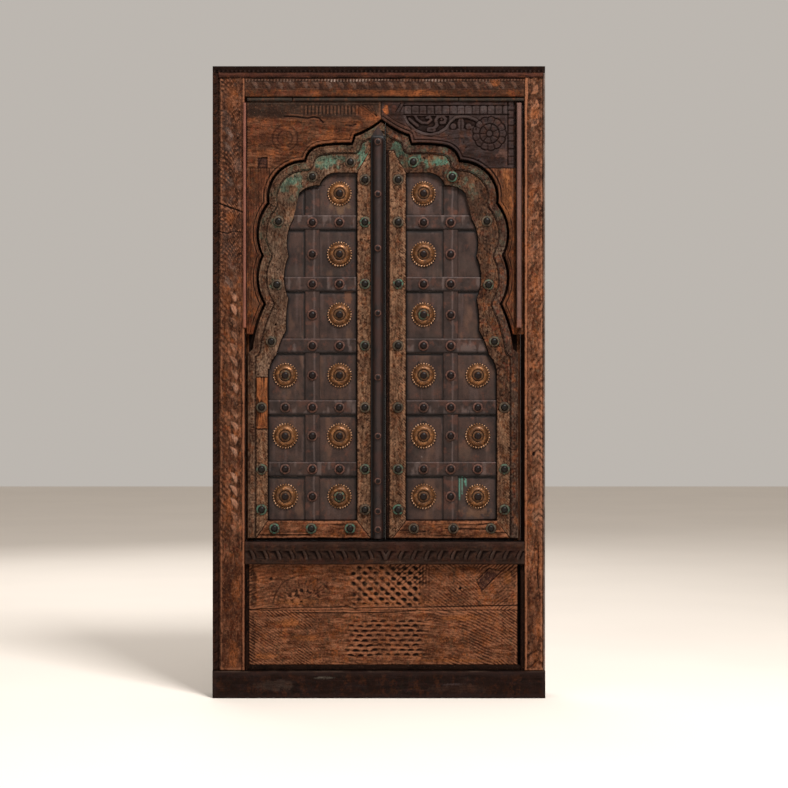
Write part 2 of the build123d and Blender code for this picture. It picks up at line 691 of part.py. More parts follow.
def upright_shape(leaf, name):
    x = leaf.column(UPRIGHT_OFFSET)
    return PANELS[name] & area(x - UPRIGHT_WIDTH / 2, x + UPRIGHT_WIDTH / 2, 0, HEIGHT)


def upright_strap(leaf, name):
    return raised(upright_shape(leaf, name), SHEET_FRONT, UPRIGHT_FRONT)


def straps(leaf, name):
    """The straps across a leaf, each hollowed at the back where it passes over the upright strap."""
    field = PANELS[name]
    upright = upright_strap(leaf, name)
    bars = []
    for z in STRAP_HEIGHTS:
        band = area(ARCH_AXIS, leaf.side * WIDTH, z - STRAP_HEIGHT / 2, z + STRAP_HEIGHT / 2)
        bars.append(raised(field & band, SHEET_FRONT, STRAP_FRONT) - upright)
    return bars


def faceted(radius, top_radius, sides, base, top):
    """A many-sided head that narrows from its foot to its top, standing forward of the front plane."""
    turns = [2 * pi * side / sides for side in range(sides)]
    foot = [(radius * cos(turn), -base, radius * sin(turn)) for turn in turns]
    crown = [(top_radius * cos(turn), -top, top_radius * sin(turn)) for turn in turns]
    rings = zip(foot, foot[1:] + foot[:1], crown[1:] + crown[:1], crown)
    outlines = [foot, crown] + list(rings)
    return Solid(Shell([Face(Wire.make_polygon(outline)) for outline in outlines]))


def placed(solid, x, z, front):
    return Pos(x, -front, z) * solid


def stud():
    """A forged stud head."""
    return faceted(STUD_RADIUS, STUD_TOP_RADIUS, STUD_SIDES, 0, STUD_HEIGHT)


def rosette():
    """A brass rosette: a toothed rim under a coned crown, flat on top for its nail."""
    points = []
    for step in range(2 * ROSETTE_TEETH):
        radius = ROSETTE_ROOT_RADIUS if step % 2 else ROSETTE_RADIUS
        angle = pi * step / ROSETTE_TEETH
        points.append((radius * cos(angle), radius * sin(angle)))
    rim = raised(outline(points), 0, ROSETTE_RIM_THICK)
    sides = ROSETTE_CROWN_SIDES
    crown = faceted(ROSETTE_CROWN_FOOT, ROSETTE_CROWN_RADIUS, sides, ROSETTE_RIM_THICK, ROSETTE_HEIGHT)
    return rim + crown


def rosette_places(leaf):
    places = [(leaf.column(INNER_COLUMN), z) for z in ROSETTE_HEIGHTS]
    return places + [(leaf.column(OUTER_COLUMN), z) for z in ROSETTE_HEIGHTS[:OUTER_ROSETTE_ROWS]]


def rosettes(leaf):
    return [placed(rosette(), x, z, SHEET_FRONT) for x, z in rosette_places(leaf)]


def rosette_nails(leaf):
    nail = faceted(NAIL_RADIUS, STUD_TOP_RADIUS, STUD_SIDES, 0, NAIL_HEIGHT)
    return [placed(nail, x, z, SHEET_FRONT + ROSETTE_HEIGHT) for x, z in rosette_places(leaf)]


def strap_studs(leaf):
    """Studs on the straps, and on the upright strap in the fields between them."""
    heads = []
    for row, z in enumerate(STRAP_HEIGHTS):
        offsets = [INNER_COLUMN, UPRIGHT_OFFSET] + ([OUTER_COLUMN] if row < OUTER_STUD_ROWS else [])
        heads += [placed(stud(), leaf.column(offset), z, STRAP_FRONT) for offset in offsets]
    for z in ROSETTE_HEIGHTS[:-1]:
        heads.append(placed(stud(), leaf.column(UPRIGHT_OFFSET), z, UPRIGHT_FRONT))
    return heads


def border_studs(leaf):
    """Studs on the timber: the meeting stile, the outer stile, the arch border and the bottom rail."""
    column = leaf.column(PANEL_NEAR_EDGE - MEETING_STUD_INSET)
    low = RAIL_TOP + LOW_STUD_LIFT
    high = PANEL_TOP - HIGH_STUD_DROP
    places = [(column, z) for z in [low, *STRAP_HEIGHTS, high]]
    places += [(leaf.inward(STILE_STUD_OFFSET), z) for z in [low, *STRAP_HEIGHTS[:OUTER_STUD_ROWS]]]
    places += [leaf.at(*share) for share in ARCH_STUD_SHARES]
    rail = LEAF_BOTTOM + RAIL_STUD_HEIGHT
    places += [(leaf.column(share * leaf.half), rail) for share in RAIL_STUD_SHARES]
    return [placed(stud(), x, z, BORDER_FRONT) for x, z in places]


def cover_bar():
    """The round bar over the meeting line, on a flat base, pointed at the top."""
    right = LEFT.meeting
    left = right - BAR_WIDTH
    middle = (left + right) / 2
    shape = outline([
        (left, LEAF_BOTTOM), (right, LEAF_BOTTOM), (right, BAR_TOP - BAR_POINT), (middle, BAR_TOP),
        (left, BAR_TOP - BAR_POINT),
    ])
    base = raised(shape, BORDER_FRONT, BORDER_FRONT + BAR_BASE_THICK)
    half_width = BAR_ROUND_WIDTH / 2
    plan = outline([
        (-half_width, 0), (-half_width, -BAR_SHOULDER), (-BAR_FLAT_WIDTH / 2, -BAR_ROUND_HEIGHT),
        (BAR_FLAT_WIDTH / 2, -BAR_ROUND_HEIGHT), (half_width, -BAR_SHOULDER), (half_width, 0),
    ])
    bead = extrude(plan, amount=BAR_TOP - BAR_POINT - LEAF_BOTTOM)
    bar = base + Pos(middle, -BORDER_FRONT - BAR_BASE_THICK, LEAF_BOTTOM) * bead
    return bar - cusp_moulding(LEFT)


def cover_bar_studs():
    x = LEFT.meeting - BAR_WIDTH / 2
    front = BORDER_FRONT + BAR_BASE_THICK + BAR_ROUND_HEIGHT
    head = faceted(BAR_STUD_RADIUS, STUD_TOP_RADIUS, STUD_SIDES, 0, BAR_STUD_HEIGHT)
    length = BAR_TOP - LEAF_BOTTOM
    return [placed(head, x, LEAF_BOTTOM + share * length, front) for share in BAR_STUD_SHARES]


def frame_parts():
    """The nodes that stay still."""
    spandrel = (SPANDREL_BOTTOM, HEAD_BOTTOM)
    side_board = (SIDE_BOARD_BOTTOM, SPANDREL_BOTTOM)
    return {
        "bottom_sill": bottom_sill(),
        "left_jamb": left_jamb(),
        "right_jamb": right_jamb(),
        "head_rail": head_rail(),
        "cap_fillet": cap_fillet(),
        "transom_bar": transom_bar(),
        "left_edge_strip": edge_strip(-EDGE_X, LEFT_JAMB_OUTER, SILL_HEIGHT, JAMB_TOP),
        "right_edge_strip": edge_strip(RIGHT_JAMB_OUTER, EDGE_X, SILL_HEIGHT, JAMB_TOP),
        "top_edge_strip": edge_strip(-EDGE_X, EDGE_X, JAMB_TOP, HEIGHT),
        "frame_pegs": pegs(FRAME_BACK + PEG_PROUD),
        "left_spandrel": arch_board(-1, *spandrel),
        "right_spandrel": arch_board(1, *spandrel) - dentil_gaps(),
        "left_side_board": arch_board(-1, *side_board),
        "right_side_board": arch_board(1, *side_board),
        "left_bead_strip": bead_strip(LEFT_STRIP),
        "right_bead_strip": bead_strip(RIGHT_STRIP),
        "head_fillet": head_fillet(),
        "apron_upper_board": apron_board(APRON_JOINT, TRANSOM_BOTTOM),
        "apron_lower_board": apron_board(APRON_FOOT, APRON_JOINT),
        "apron_side_fillets": apron_fillets(),
        "apron_bottom_fillet": apron_bottom_fillet(),
        "apron_battens": apron_battens(),
    }


def leaf_parts(name, leaf):
    """The nodes of one leaf."""
    return {
        f"{name}_boards": leaf_boards(leaf),
        f"{name}_hinge_stile": hinge_stile(leaf),
        f"{name}_ledges": ledges(leaf),
        f"{name}_cusp_moulding": cusp_moulding(leaf),
        f"{name}_arch_border": arch_border(leaf, name),
        f"{name}_outer_stile": outer_stile(leaf),
        f"{name}_bottom_rail": bottom_rail(leaf),
        f"{name}_meeting_stile": meeting_stile(leaf),
        f"{name}_iron_sheets": iron_sheets(leaf, name),
        f"{name}_upright_strap": upright_strap(leaf, name),
        f"{name}_straps": straps(leaf, name),
        f"{name}_rosettes": rosettes(leaf),
        f"{name}_rosette_nails": rosette_nails(leaf),
        f"{name}_strap_studs": strap_studs(leaf),
        f"{name}_border_studs": border_studs(leaf),
    }


def all_parts():
    parts = frame_parts()
    for name, leaf in LEAVES.items():
        parts.update(leaf_parts(name, leaf))
    parts["left_leaf_stile_patch"] = stile_patch()
    parts["left_leaf_cover_bar"] = cover_bar()
    parts["left_leaf_cover_bar_studs"] = cover_bar_studs()
    parts["right_leaf_meeting_bead"] = meeting_bead()
    return parts


def main():
    os.makedirs("parts", exist_ok=True)
    for name, shape in all_parts().items():
        solid = Compound(children=shape) if isinstance(shape, list) else shape
        export_step(solid, f"parts/{name}.step")
        print(name, round(solid.volume / 1000, 1), "cm3")


main()
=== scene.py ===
import bpy
import numpy as np
from bpy.props import FloatProperty, FloatVectorProperty, IntProperty, PointerProperty
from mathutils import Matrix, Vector


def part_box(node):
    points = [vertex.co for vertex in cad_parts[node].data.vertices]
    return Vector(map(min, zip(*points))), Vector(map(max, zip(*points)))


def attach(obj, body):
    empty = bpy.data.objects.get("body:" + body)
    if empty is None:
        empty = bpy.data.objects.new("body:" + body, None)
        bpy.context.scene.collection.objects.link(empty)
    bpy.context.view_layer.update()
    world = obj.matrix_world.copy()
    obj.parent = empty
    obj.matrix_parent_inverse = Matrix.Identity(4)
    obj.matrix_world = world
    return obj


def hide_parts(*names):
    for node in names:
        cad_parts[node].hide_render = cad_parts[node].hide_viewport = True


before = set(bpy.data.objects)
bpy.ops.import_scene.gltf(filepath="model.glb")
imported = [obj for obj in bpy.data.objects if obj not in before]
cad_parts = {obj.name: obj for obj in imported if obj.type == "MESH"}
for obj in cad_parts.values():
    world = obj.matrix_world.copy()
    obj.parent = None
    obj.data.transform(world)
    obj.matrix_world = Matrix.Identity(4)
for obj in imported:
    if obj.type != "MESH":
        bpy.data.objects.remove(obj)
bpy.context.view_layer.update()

bl_info = {
    "name": "Carved Window Dresser",
    "version": (1, 0, 0),
    "blender": (4, 5, 0),
    "location": "View3D > Sidebar > Window",
    "description": "Carves, weathers and lights a timber window with iron-clad leaves",
    "category": "Object",
}

# All shapes below are worked out in millimetres, and turned to metres when a mesh is made.
MM = 0.001
# How far apart the points of a surface are, in mm: on fine carving, on carving, on the arch borders, on worn
# timber, on the straps and on the sheets.
FINE_STEP, CARVED_STEP, BORDER_STEP, WORN_STEP, STRAP_STEP, SHEET_STEP = 2.05, 2.3, 2.5, 2.8, 3.4, 4.0
UNMOVED = (0, 0, 0)

# The arch in shares of its half width and rise, with each arc's bulge as a share of its chord
ARCH_AXIS = 8
ARCH_SPRING = 1045
ARCH_LINE = (
    (1.000, -0.012, 0), (0.962, 0.006, 0), (0.862, 0.204, 0.042), (0.877, 0.416, 0.130),
    (0.835, 0.642, 0.153), (0.561, 0.823, 0.240), (0.456, 0.891, 0.174), (0.210, 0.897, 0.030),
    (0.193, 0.937, 0), (0.000, 1.000, -0.045),
)
PANEL_LINE = (
    (0.838, -0.080, 0), (0.787, -0.020, 0.086), (0.714, 0.087, 0.038), (0.696, 0.227, 0.031),
    (0.694, 0.412, 0.110), (0.659, 0.577, 0.105), (0.465, 0.722, 0.268), (0.352, 0.778, 0.150),
)
ARCH_GAP = 7
MOULDING_WIDTH = 25
STILE_WIDTHS = {-1: 61, 1: 65}
STRAP_HEIGHT = 43
PANEL_NEAR = 74
MEETING_POINT_OFFSET = 36
RAIL_MITRE_FOOT = 32
LEFT_OPENING, RIGHT_OPENING = -403, 438
HEAD_BOTTOM = 1808
RIGHT_BOARD_INSET = 32
BOARD_REBATE = 20
SKIN_DEPTH = 8
TRANSOM_HEIGHTS = (402, 470)
FILLET_JOINTS = (-260, 240)
FILLET_GAP = 0.8
APRON_FILLET_WIDTH = 11
# The thin lip that closes the joint between the leaves
LIP_REACH, LIP_DEPTHS = 0.75, (-2, -8)
STRAP_COUNT = 5
UPRIGHT_END = 12
NAIL_SINK = 2.2
BAR_RADIUS, BAR_WING, BAR_POINT = 15.6, 6, 34


def linear(colour):
    """Red, green and blue in linear light: a hex value's channels go through the sRGB curve backwards."""
    if not isinstance(colour, str):
        return tuple(colour)
    channels = np.array([int(colour[i : i + 2], 16) for i in (1, 3, 5)]) / 255
    light = np.where(channels <= 0.04045, channels / 12.92, ((channels + 0.055) / 1.055) ** 2.4)
    return tuple(float(channel) for channel in light)


def size_setting(label, description, millimetres):
    """A length that a user can change, kept in metres."""
    return FloatProperty(
        name=label, description=description, default=millimetres * MM, min=0, unit="LENGTH", precision=4
    )


def colour_setting(label, description, text):
    """A colour that a user can change, from its hex value."""
    return FloatVectorProperty(
        name=label, description=description, subtype="COLOR", size=3, min=0, max=1, default=linear(text)
    )


class TimberSettings(bpy.types.PropertyGroup):
    leaf_pitch: size_setting("Leaf pitch", "Height of one carved leaf on the jambs", 39)
    carve_depth: size_setting("Carving depth", "Depth of the grooves between the leaves", 2.8)
    hook_pitch: size_setting("Hook pitch", "Width of one hook on the transom", 39.5)
    dentil_pitch: size_setting("Dentil pitch", "Width of one dentil and its gap", 22.8)
    lattice_pitch: size_setting("Lattice pitch", "Distance between the notches of the apron", 34)
    bead_pitch: size_setting("Bead pitch", "Distance between the ovals of the arch moulding", 8.5)
    worn: colour_setting("Worn timber", "Where hands and weather have rubbed the wood", "#84553c")
    brown: colour_setting("Brown timber", "The wood's own colour", "#4a2815")
    dirt: colour_setting("Dirt", "Soot and old oil in the grain", "#190a04")
    orange: colour_setting("Orange timber", "Where the skin of the wood is freshly rubbed off", "#854822")
    red: colour_setting("Red timber", "The wood's red heart, where it shows through", "#642d1c")
    moss: colour_setting("Green-grey film", "Old wax and dust in the open grain", "#3d3426")
    grey: colour_setting("Grey timber", "Weathered wood of the right spandrel", "#382d2b")
    black: colour_setting("Black timber", "Oiled wood of the transom, the sill and the edges", "#2e211b")
    paint: colour_setting("Old paint", "What is left of a blue-green paint", "#456b5a")


class IronSettings(bpy.types.PropertyGroup):
    sheet_light: colour_setting("Sheet, light", "Pale oxide on the iron sheets", "#38261f")
    sheet_dark: colour_setting("Sheet, dark", "Dark oxide on the iron sheets", "#21140f")
    rust: colour_setting("Rust", "Brown rust", "#47281c")
    rosette_teeth: IntProperty(
        name="Rosette teeth", description="Points round each rosette", default=28, min=12
    )
    rosette_bright: colour_setting("Brass, bright", "Rubbed brass on the points", "#c99a76")
    rosette_deep: colour_setting("Brass, deep", "Brown brass", "#6f4828")
    stud_radius: size_setting("Stud radius", "Radius of the iron washers under the studs", 17)


class StageSettings(bpy.types.PropertyGroup):
    distance: FloatProperty(
        name="Distance", description="From the camera to the plane of the leaves", default=6.0, unit="LENGTH"
    )
    floor_colour: colour_setting("Floor", "Plain floor", "#e3dad0")
    air_colour: colour_setting("Air", "Plain pale surroundings", "#e9e2da")


class Box:
    """A node's box in millimetres; front and back are distances forward of the plane of the pivots."""

    def __init__(self, node):
        low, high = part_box(node)
        self.x0, self.x1 = low.x / MM, high.x / MM
        self.front, self.back = -low.y / MM, -high.y / MM
        self.z0, self.z1 = low.z / MM, high.z / MM

    def sides(self):
        """The order that battens take."""
        return self.x0, self.x1, self.front, self.back, self.z0, self.z1


def smooth(low, high, value):
    """Rises from 0 at low to 1 at high, level at both ends."""
    t = np.clip((value - low) / (high - low), 0, 1)
    return t * t * (3 - 2 * t)


def within(value, start, full, waning, end):
    """Rises from 0 at the start to 1 at full, and falls from 1 at waning to 0 at the end."""
    return smooth(start, full, value) * smooth(end, waning, value)


def about(value, full, end):
    """1 where a value is no further from 0 than full, falling to 0 at the end."""
    return smooth(end, full, np.abs(value))


def noise(x, z, size, seed, octaves=1):
    """Values from 0 to 1 that change over a size: random lattice points, blended smoothly between."""
    total, weight, share = 0, 0, 1.0
    for octave in range(octaves):
        lattice = np.random.default_rng(seed + octave).random((64, 64))
        u, v = x / size * 2**octave + 0.37 * octave, z / size * 2**octave
        i, j = np.floor(u).astype(int), np.floor(v).astype(int)
        s, t = smooth(0, 1, u - i), smooth(0, 1, v - j)
        low = lattice[i % 64, j % 64] * (1 - s) + lattice[(i + 1) % 64, j % 64] * s
        high = lattice[i % 64, (j + 1) % 64] * (1 - s) + lattice[(i + 1) % 64, (j + 1) % 64] * s
        total = total + share * (low * (1 - t) + high * t)
        weight += share
        share *= 0.5
    return total / weight


def blurred(values, reach):
    """The mean over a square of cells round each cell, by running sums along both ways of a grid."""
    for axis in (0, 1):
        width = min(reach, values.shape[axis] - 1)
        pads = [(0, 0), (0, 0)]
        pads[axis] = (width + 1, width)
        sums = np.cumsum(np.pad(values, pads, mode="edge"), axis=axis)
        count = values.shape[axis]
        late = np.take(sums, np.arange(2 * width + 1, 2 * width + 1 + count), axis=axis)
        early = np.take(sums, np.arange(count), axis=axis)
        values = (late - early) / (2 * width + 1)
    return values


def steps(start, end, size):
    """Evenly spaced values from start to end, about a size apart."""
    return np.linspace(start, end, max(3, round(abs(end - start) / size)) + 1)


def grid(x0, x1, z0, z1, size):
    """X and Z of a rectangle's points, a size apart, with the rows along its longer side."""
    x, z = np.meshgrid(steps(x0, x1, size), steps(z0, z1, size), indexing="ij")
    return (x, z) if x.shape[0] >= x.shape[1] else (x.T, z.T)


def between(start, end, size):
    """X and Z of a ruled surface: straight rules between two lines of matching points."""
    share = steps(0, 1, size / np.hypot(*(end - start).T).max())[None, :, None]
    points = start[:, None] * (1 - share) + end[:, None] * share
    return points[..., 0], points[..., 1]


def straight(*corners, size=2.0):
    """Points a size apart along straight pieces between corners."""
    corners = np.array(corners, float)
    pieces = []
    for p, q in zip(corners, corners[1:]):
        share = np.linspace(0, 1, max(1, round(np.hypot(*(q - p)) / size)) + 1)[:-1, None]
        pieces.append(p + share * (q - p))
    return np.concatenate([*pieces, corners[-1:]])


def arc(start, end, bulge, side, size=2.0):
    """Points of an arc whose height over its chord is a share of the chord; the last point is left out.

    Half of the arc's angle is twice the arctangent of twice the share, and its radius is half the chord
    over the sine of that.
    """
    p, q = np.array(start, float), np.array(end, float)
    chord = q - p
    length = np.hypot(*chord)
    t = np.arange(max(1, round(length / size))) / max(1, round(length / size))
    if bulge == 0:
        return p + t[:, None] * chord
    along = chord / length
    out = np.array([along[1], -along[0]]) * side * np.sign(bulge)
    half_angle = 2 * np.arctan(2 * abs(bulge))
    radius = length / (2 * np.sin(half_angle))
    angle = ((2 * t - 1) * half_angle)[:, None]
    middle = (p + q) / 2 - out * radius * np.cos(half_angle)
    return middle + radius * (np.sin(angle) * along + np.cos(angle) * out)


def distance_to(line, x, z):
    """The distance from each point to a line of straight pieces, as the least over the pieces."""
    points = np.stack([x, z], -1).reshape(-1, 1, 2)
    a, run = line[:-1][None], (line[1:] - line[:-1])[None]
    t = np.clip(((points - a) * run).sum(-1) / np.maximum((run**2).sum(-1), 1e-9), 0, 1)
    return np.hypot(*np.moveaxis(points - a - t[..., None] * run, -1, 0)).min(1).reshape(x.shape)


def matched(first, second, first_corners, second_corners, size):
    """Two lines spread over as many points each, so that each corner of one meets its own of the other."""
    spots = []
    for line, corners in ((first, first_corners), (second, second_corners)):
        nearest = [int(np.argmin(np.hypot(*(line - np.array(c)).T))) for c in corners]
        spots.append([0, *nearest, len(line) - 1])
    lengths = [
        np.concatenate([[0], np.cumsum(np.hypot(*np.diff(line, axis=0).T))]) for line in (first, second)
    ]
    counts = [
        max(2, round(max(run[b] - run[a] for run, a, b in zip(lengths, low, high)) / size))
        for low, high in zip(zip(*[s[:-1] for s in spots]), zip(*[s[1:] for s in spots]))
    ]
    result = []
    for line, places, run in zip((first, second), spots, lengths):
        pieces = [np.linspace(run[a], run[b], n + 1)[:-1] for a, b, n in zip(places, places[1:], counts)]
        at = np.concatenate([*pieces, run[-1:]])
        result.append(np.stack([np.interp(at, run, line[:, 0]), np.interp(at, run, line[:, 1])], -1))
    return result


class Part:
    """A closed shape: points, groups of faces with as many corners each, and what its points carry."""

    def __init__(self, points, groups, **carried):
        self.points, self.groups, self.carried = points, groups, carried


def assemble(node, ending, parts, material, name=None):
    """Joins parts in one mesh that stands for a node on its body. A point that carries no value has 0."""
    name = name or f"{node}_{ending}"
    mesh = bpy.data.meshes.new(name)
    starts = np.cumsum([0] + [len(part.points) for part in parts])
    points = np.concatenate([part.points for part in parts])
    groups = [(faces + start, flat) for part, start in zip(parts, starts) for faces, flat in part.groups]
    corners = np.concatenate([faces.ravel() for faces, flat in groups])
    counts = np.concatenate([np.full(len(faces), faces.shape[1]) for faces, flat in groups])
    flats = np.concatenate([np.full(len(faces), flat) for faces, flat in groups])
    mesh.vertices.add(len(points))
    mesh.vertices.foreach_set("co", (points * MM).astype(np.float32).ravel())
    mesh.loops.add(len(corners))
    mesh.loops.foreach_set("vertex_index", corners.astype(np.int32))
    mesh.polygons.add(len(counts))
    mesh.polygons.foreach_set("loop_start", np.concatenate([[0], np.cumsum(counts)[:-1]]).astype(np.int32))
    mesh.polygons.foreach_set("use_smooth", ~flats)
    mesh.update(calc_edges=True)
    mesh.validate()
    for key in sorted({key for part in parts for key in part.carried}):
        kind, field, wide = ("FLOAT_COLOR", "color", (4,)) if key == "stain" else ("FLOAT", "value", ())
        values = [part.carried.get(key, np.zeros((len(part.points), *wide))) for part in parts]
        layer = mesh.attributes.new(key, kind, "POINT")
        layer.data.foreach_set(field, np.concatenate(values).astype(np.float32).ravel())
    piece = bpy.data.objects.new(name, mesh)
    bpy.context.scene.collection.objects.link(piece)
    mesh.materials.append(material)
    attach(piece, next((leaf for leaf in ("left_leaf", "right_leaf") if node.startswith(leaf)), "frame"))
    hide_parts(node)
    return piece


def merged(node):
    """The points of a CAD node in millimetres with its doubles merged, and its triangles."""
    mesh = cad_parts[node].data
    places = np.empty(len(mesh.vertices) * 3)
    mesh.vertices.foreach_get("co", places)
    corners = np.empty(len(mesh.loops), int)
    mesh.loops.foreach_get("vertex_index", corners)
    points, index = np.unique(np.round(places.reshape(-1, 3), 6), axis=0, return_inverse=True)
    return points / MM, index.ravel()[corners].reshape(-1, 3)


def core(node, front):
    """A copy of a CAD node, cut back at the front to make room for a carved skin.

    Its front half is painted in shade, as its faces there lie back in the dark gaps between the pieces.
    """
    points, faces = merged(node)
    points[:, 1] = np.maximum(points[:, 1], -front)
    return Part(points, [(faces, True)], hollow=(points[:, 1] < 0) * 1.0)


def face(box, size, ease):
    """The front of a node's box as a grid, a size apart."""
    return Skin(*grid(box.x0, box.x1, box.z0, box.z1, size), box.front, ease)


def set_in(node, skin, material, name=None):
    """Sets a carved skin into the front of its node, which is cut back behind it."""
    back = skin.front - SKIN_DEPTH
    return assemble(node, "carved", [skin.part(back), core(node, back)], material, name)


def wander(skin, reach, size, seed):
    """A skin's points moved by up to a reach, as a hand strays: one cloud of noise for each way."""
    clouds = [noise(skin.x, skin.z, size, seed + shift, 2) for shift in (0, 7)]
    return skin.x + reach * (2 * clouds[0] - 1), skin.z + reach * (2 * clouds[1] - 1)


class Skin:
    """A carved face on a grid: X, Z, how far each point stands forward, and its paint.

    Along the rim it falls away in a quarter of an ellipse that is the ease wide and 0.8 of that deep.
    """

    def __init__(self, x, z, front, ease=2.0):
        self.x, self.z, self.front = x, z, front
        # The paint that points carry: stains, dirt and wear, and also painted shade and painted highlights.
        self.stain = np.zeros(x.shape + (4,))
        along = np.hypot(np.diff(x, axis=0), np.diff(z, axis=0))
        across = np.hypot(np.diff(x, axis=1), np.diff(z, axis=1))
        self.u = np.pad(np.cumsum(along, 0), ((1, 0), (0, 0)))
        self.v = np.pad(np.cumsum(across, 1), ((0, 0), (1, 0)))
        ends = np.minimum(self.u, self.u[-1] - self.u)
        self.edge = np.minimum(ends, np.minimum(self.v, self.v[:, -1:] - self.v))
        t = np.clip(1 - self.edge / max(ease, 0.01), 0, 1)
        self.proud = front - ease * 0.8 * (1 - np.sqrt(1 - t**2))

    def cut(self, depth):
        """Takes a depth off the face; nothing is ever added in front of it."""
        self.proud = self.proud - np.clip(depth, 0, None)

    def paint(self, mask, colour):
        """Lays a colour over what is there, by a mask from 0 to 1."""
        mask = np.clip(mask, 0, 1)[..., None]
        below = self.stain[..., 3:] * (1 - mask)
        alpha = mask + below
        mixed = (np.array(linear(colour)[:3]) * mask + self.stain[..., :3] * below) / np.maximum(alpha, 1e-6)
        self.stain = np.concatenate([mixed, alpha], -1)

    def mark(self, share, depth, strength, colour):
        """Cuts and paints by one mask: up to a depth, and up to a strength."""
        self.cut(depth * share)
        self.paint(strength * share, colour)

    def patch(self, x, z, wide, tall, colour, strength=1.0, seed=1, dent=0.0, ragged=0.5, slope=0.0):
        """Paints a ragged oval and sinks it; the oval leans sideways by the slope as it rises."""
        u = (self.x - x - slope * (self.z - z)) / wide
        v = (self.z - z) / tall
        rag = ragged * (noise(self.x, self.z, min(wide, tall) / 1.5, seed, 3) - 0.5) * 2
        mask = smooth(1.15, 0.75, np.hypot(u, v) + rag)
        self.paint(mask * strength, colour)
        self.cut(dent * mask)

    def patches(self, *rows):
        """Paints a patch for each row, which gives it in the order that patch takes."""
        for row in rows:
            self.patch(*row)

    def groove(self, points, width, depth, colour=None, strength=0.9):
        """Cuts a V along straight pieces, with a line of paint in it where a colour is given."""
        d = distance_to(np.array(points, float), self.x, self.z)
        inside = np.clip(1 - d / (width / 2), 0, 1)
        self.cut(depth * inside)
        if colour:
            self.paint(smooth(0, 0.7, inside) * strength, colour)

    def wear(self, amount, size, seed, fibre=0.7, grain="z"):
        """Weather: slow hollows in a cloud of noise, rubbed edges, and fibres that stand up along the grain.

        The fibres are noise 5 mm across the grain and four times as long.
        """
        cloud = noise(self.x, self.z, size, seed, 4)
        self.cut(amount * smooth(0.4, 0.85, cloud))
        self.cut(amount * smooth(7, 0, self.edge) * smooth(0.55, 0.25, cloud))
        x, z = (self.x, self.z / 4) if grain == "z" else (self.x / 4, self.z)
        self.cut(fibre * noise(x, z, 5, seed + 20, 2))

    def part(self, back, reach=4, deep=2.0, rim_shade=1.0):
        """Turns the face to a closed block with a flat back.

        The rim is joined to a copy of itself at the back depth, and the back is closed by strips between
        the two ends of each rule. A point's soot and painted shade is how far it lies under the mean of
        what is round it, and at the back of the rim it is the painted shade of the dark gap beside the piece.
        """
        self.proud = np.maximum(self.proud, back + 0.5)
        wide, tall = self.x.shape
        # Soot and painted shade in the hollows; below zero it marks rubbed ridges.
        hollow = np.clip((blurred(self.proud, reach) - self.proud) / deep, -1, 1).ravel()
        index = np.arange(wide * tall).reshape(wide, tall)
        front = np.stack([index[:-1, :-1], index[1:, :-1], index[1:, 1:], index[:-1, 1:]], -1).reshape(-1, 4)
        rim = np.concatenate([index[:, 0], index[-1, 1:], index[-2::-1, -1], index[0, -2:0:-1]])
        rear = wide * tall + np.arange(len(rim))
        after = np.roll(np.arange(len(rim)), -1)
        walls = np.stack([rim, rear, rear[after], rim[after]], -1)
        low, high = rear[:wide], rear[wide + tall - 2 : 2 * wide + tall - 2][::-1]
        strips = np.stack([low[1:-2], high[1:-2], high[2:-1], low[2:-1]], -1)
        first = np.concatenate([low[:1], rear[: 2 * wide + tall - 3 : -1], high[:2], low[1:2]])[None]
        last = np.concatenate([low[-2:-1], high[-2:], rear[wide + tall - 3 : wide - 1 : -1], low[-1:]])[None]
        turn = np.cross(
            [self.x[-1, 0] - self.x[0, 0], self.z[-1, 0] - self.z[0, 0]],
            [self.x[0, -1] - self.x[0, 0], self.z[0, -1] - self.z[0, 0]],
        )
        groups = [(front, False), (walls, True), (strips, True), (first, True), (last, True)]
        if turn < 0:
            groups = [(faces[:, ::-1], flat) for faces, flat in groups]
        x, z, stain = self.x.ravel(), self.z.ravel(), self.stain.reshape(-1, 4)
        points = np.concatenate([
            np.stack([x, -self.proud.ravel(), z], -1),
            np.stack([x[rim], np.full(len(rim), -float(back)), z[rim]], -1),
        ])
        # At the back of the rim the value is painted shade for the dark gap beside the piece.
        return Part(
            points, groups, hollow=np.concatenate([hollow, np.full(len(rim), rim_shade)]),
            stain=np.concatenate([stain, stain[rim]]),
        )


def tube(index):
    """The faces between rings of points, where each row of the index is a ring."""
    after = np.roll(index, -1, 1)
    return np.stack([index[:-1], after[:-1], after[1:], index[1:]], -1).reshape(-1, 4)


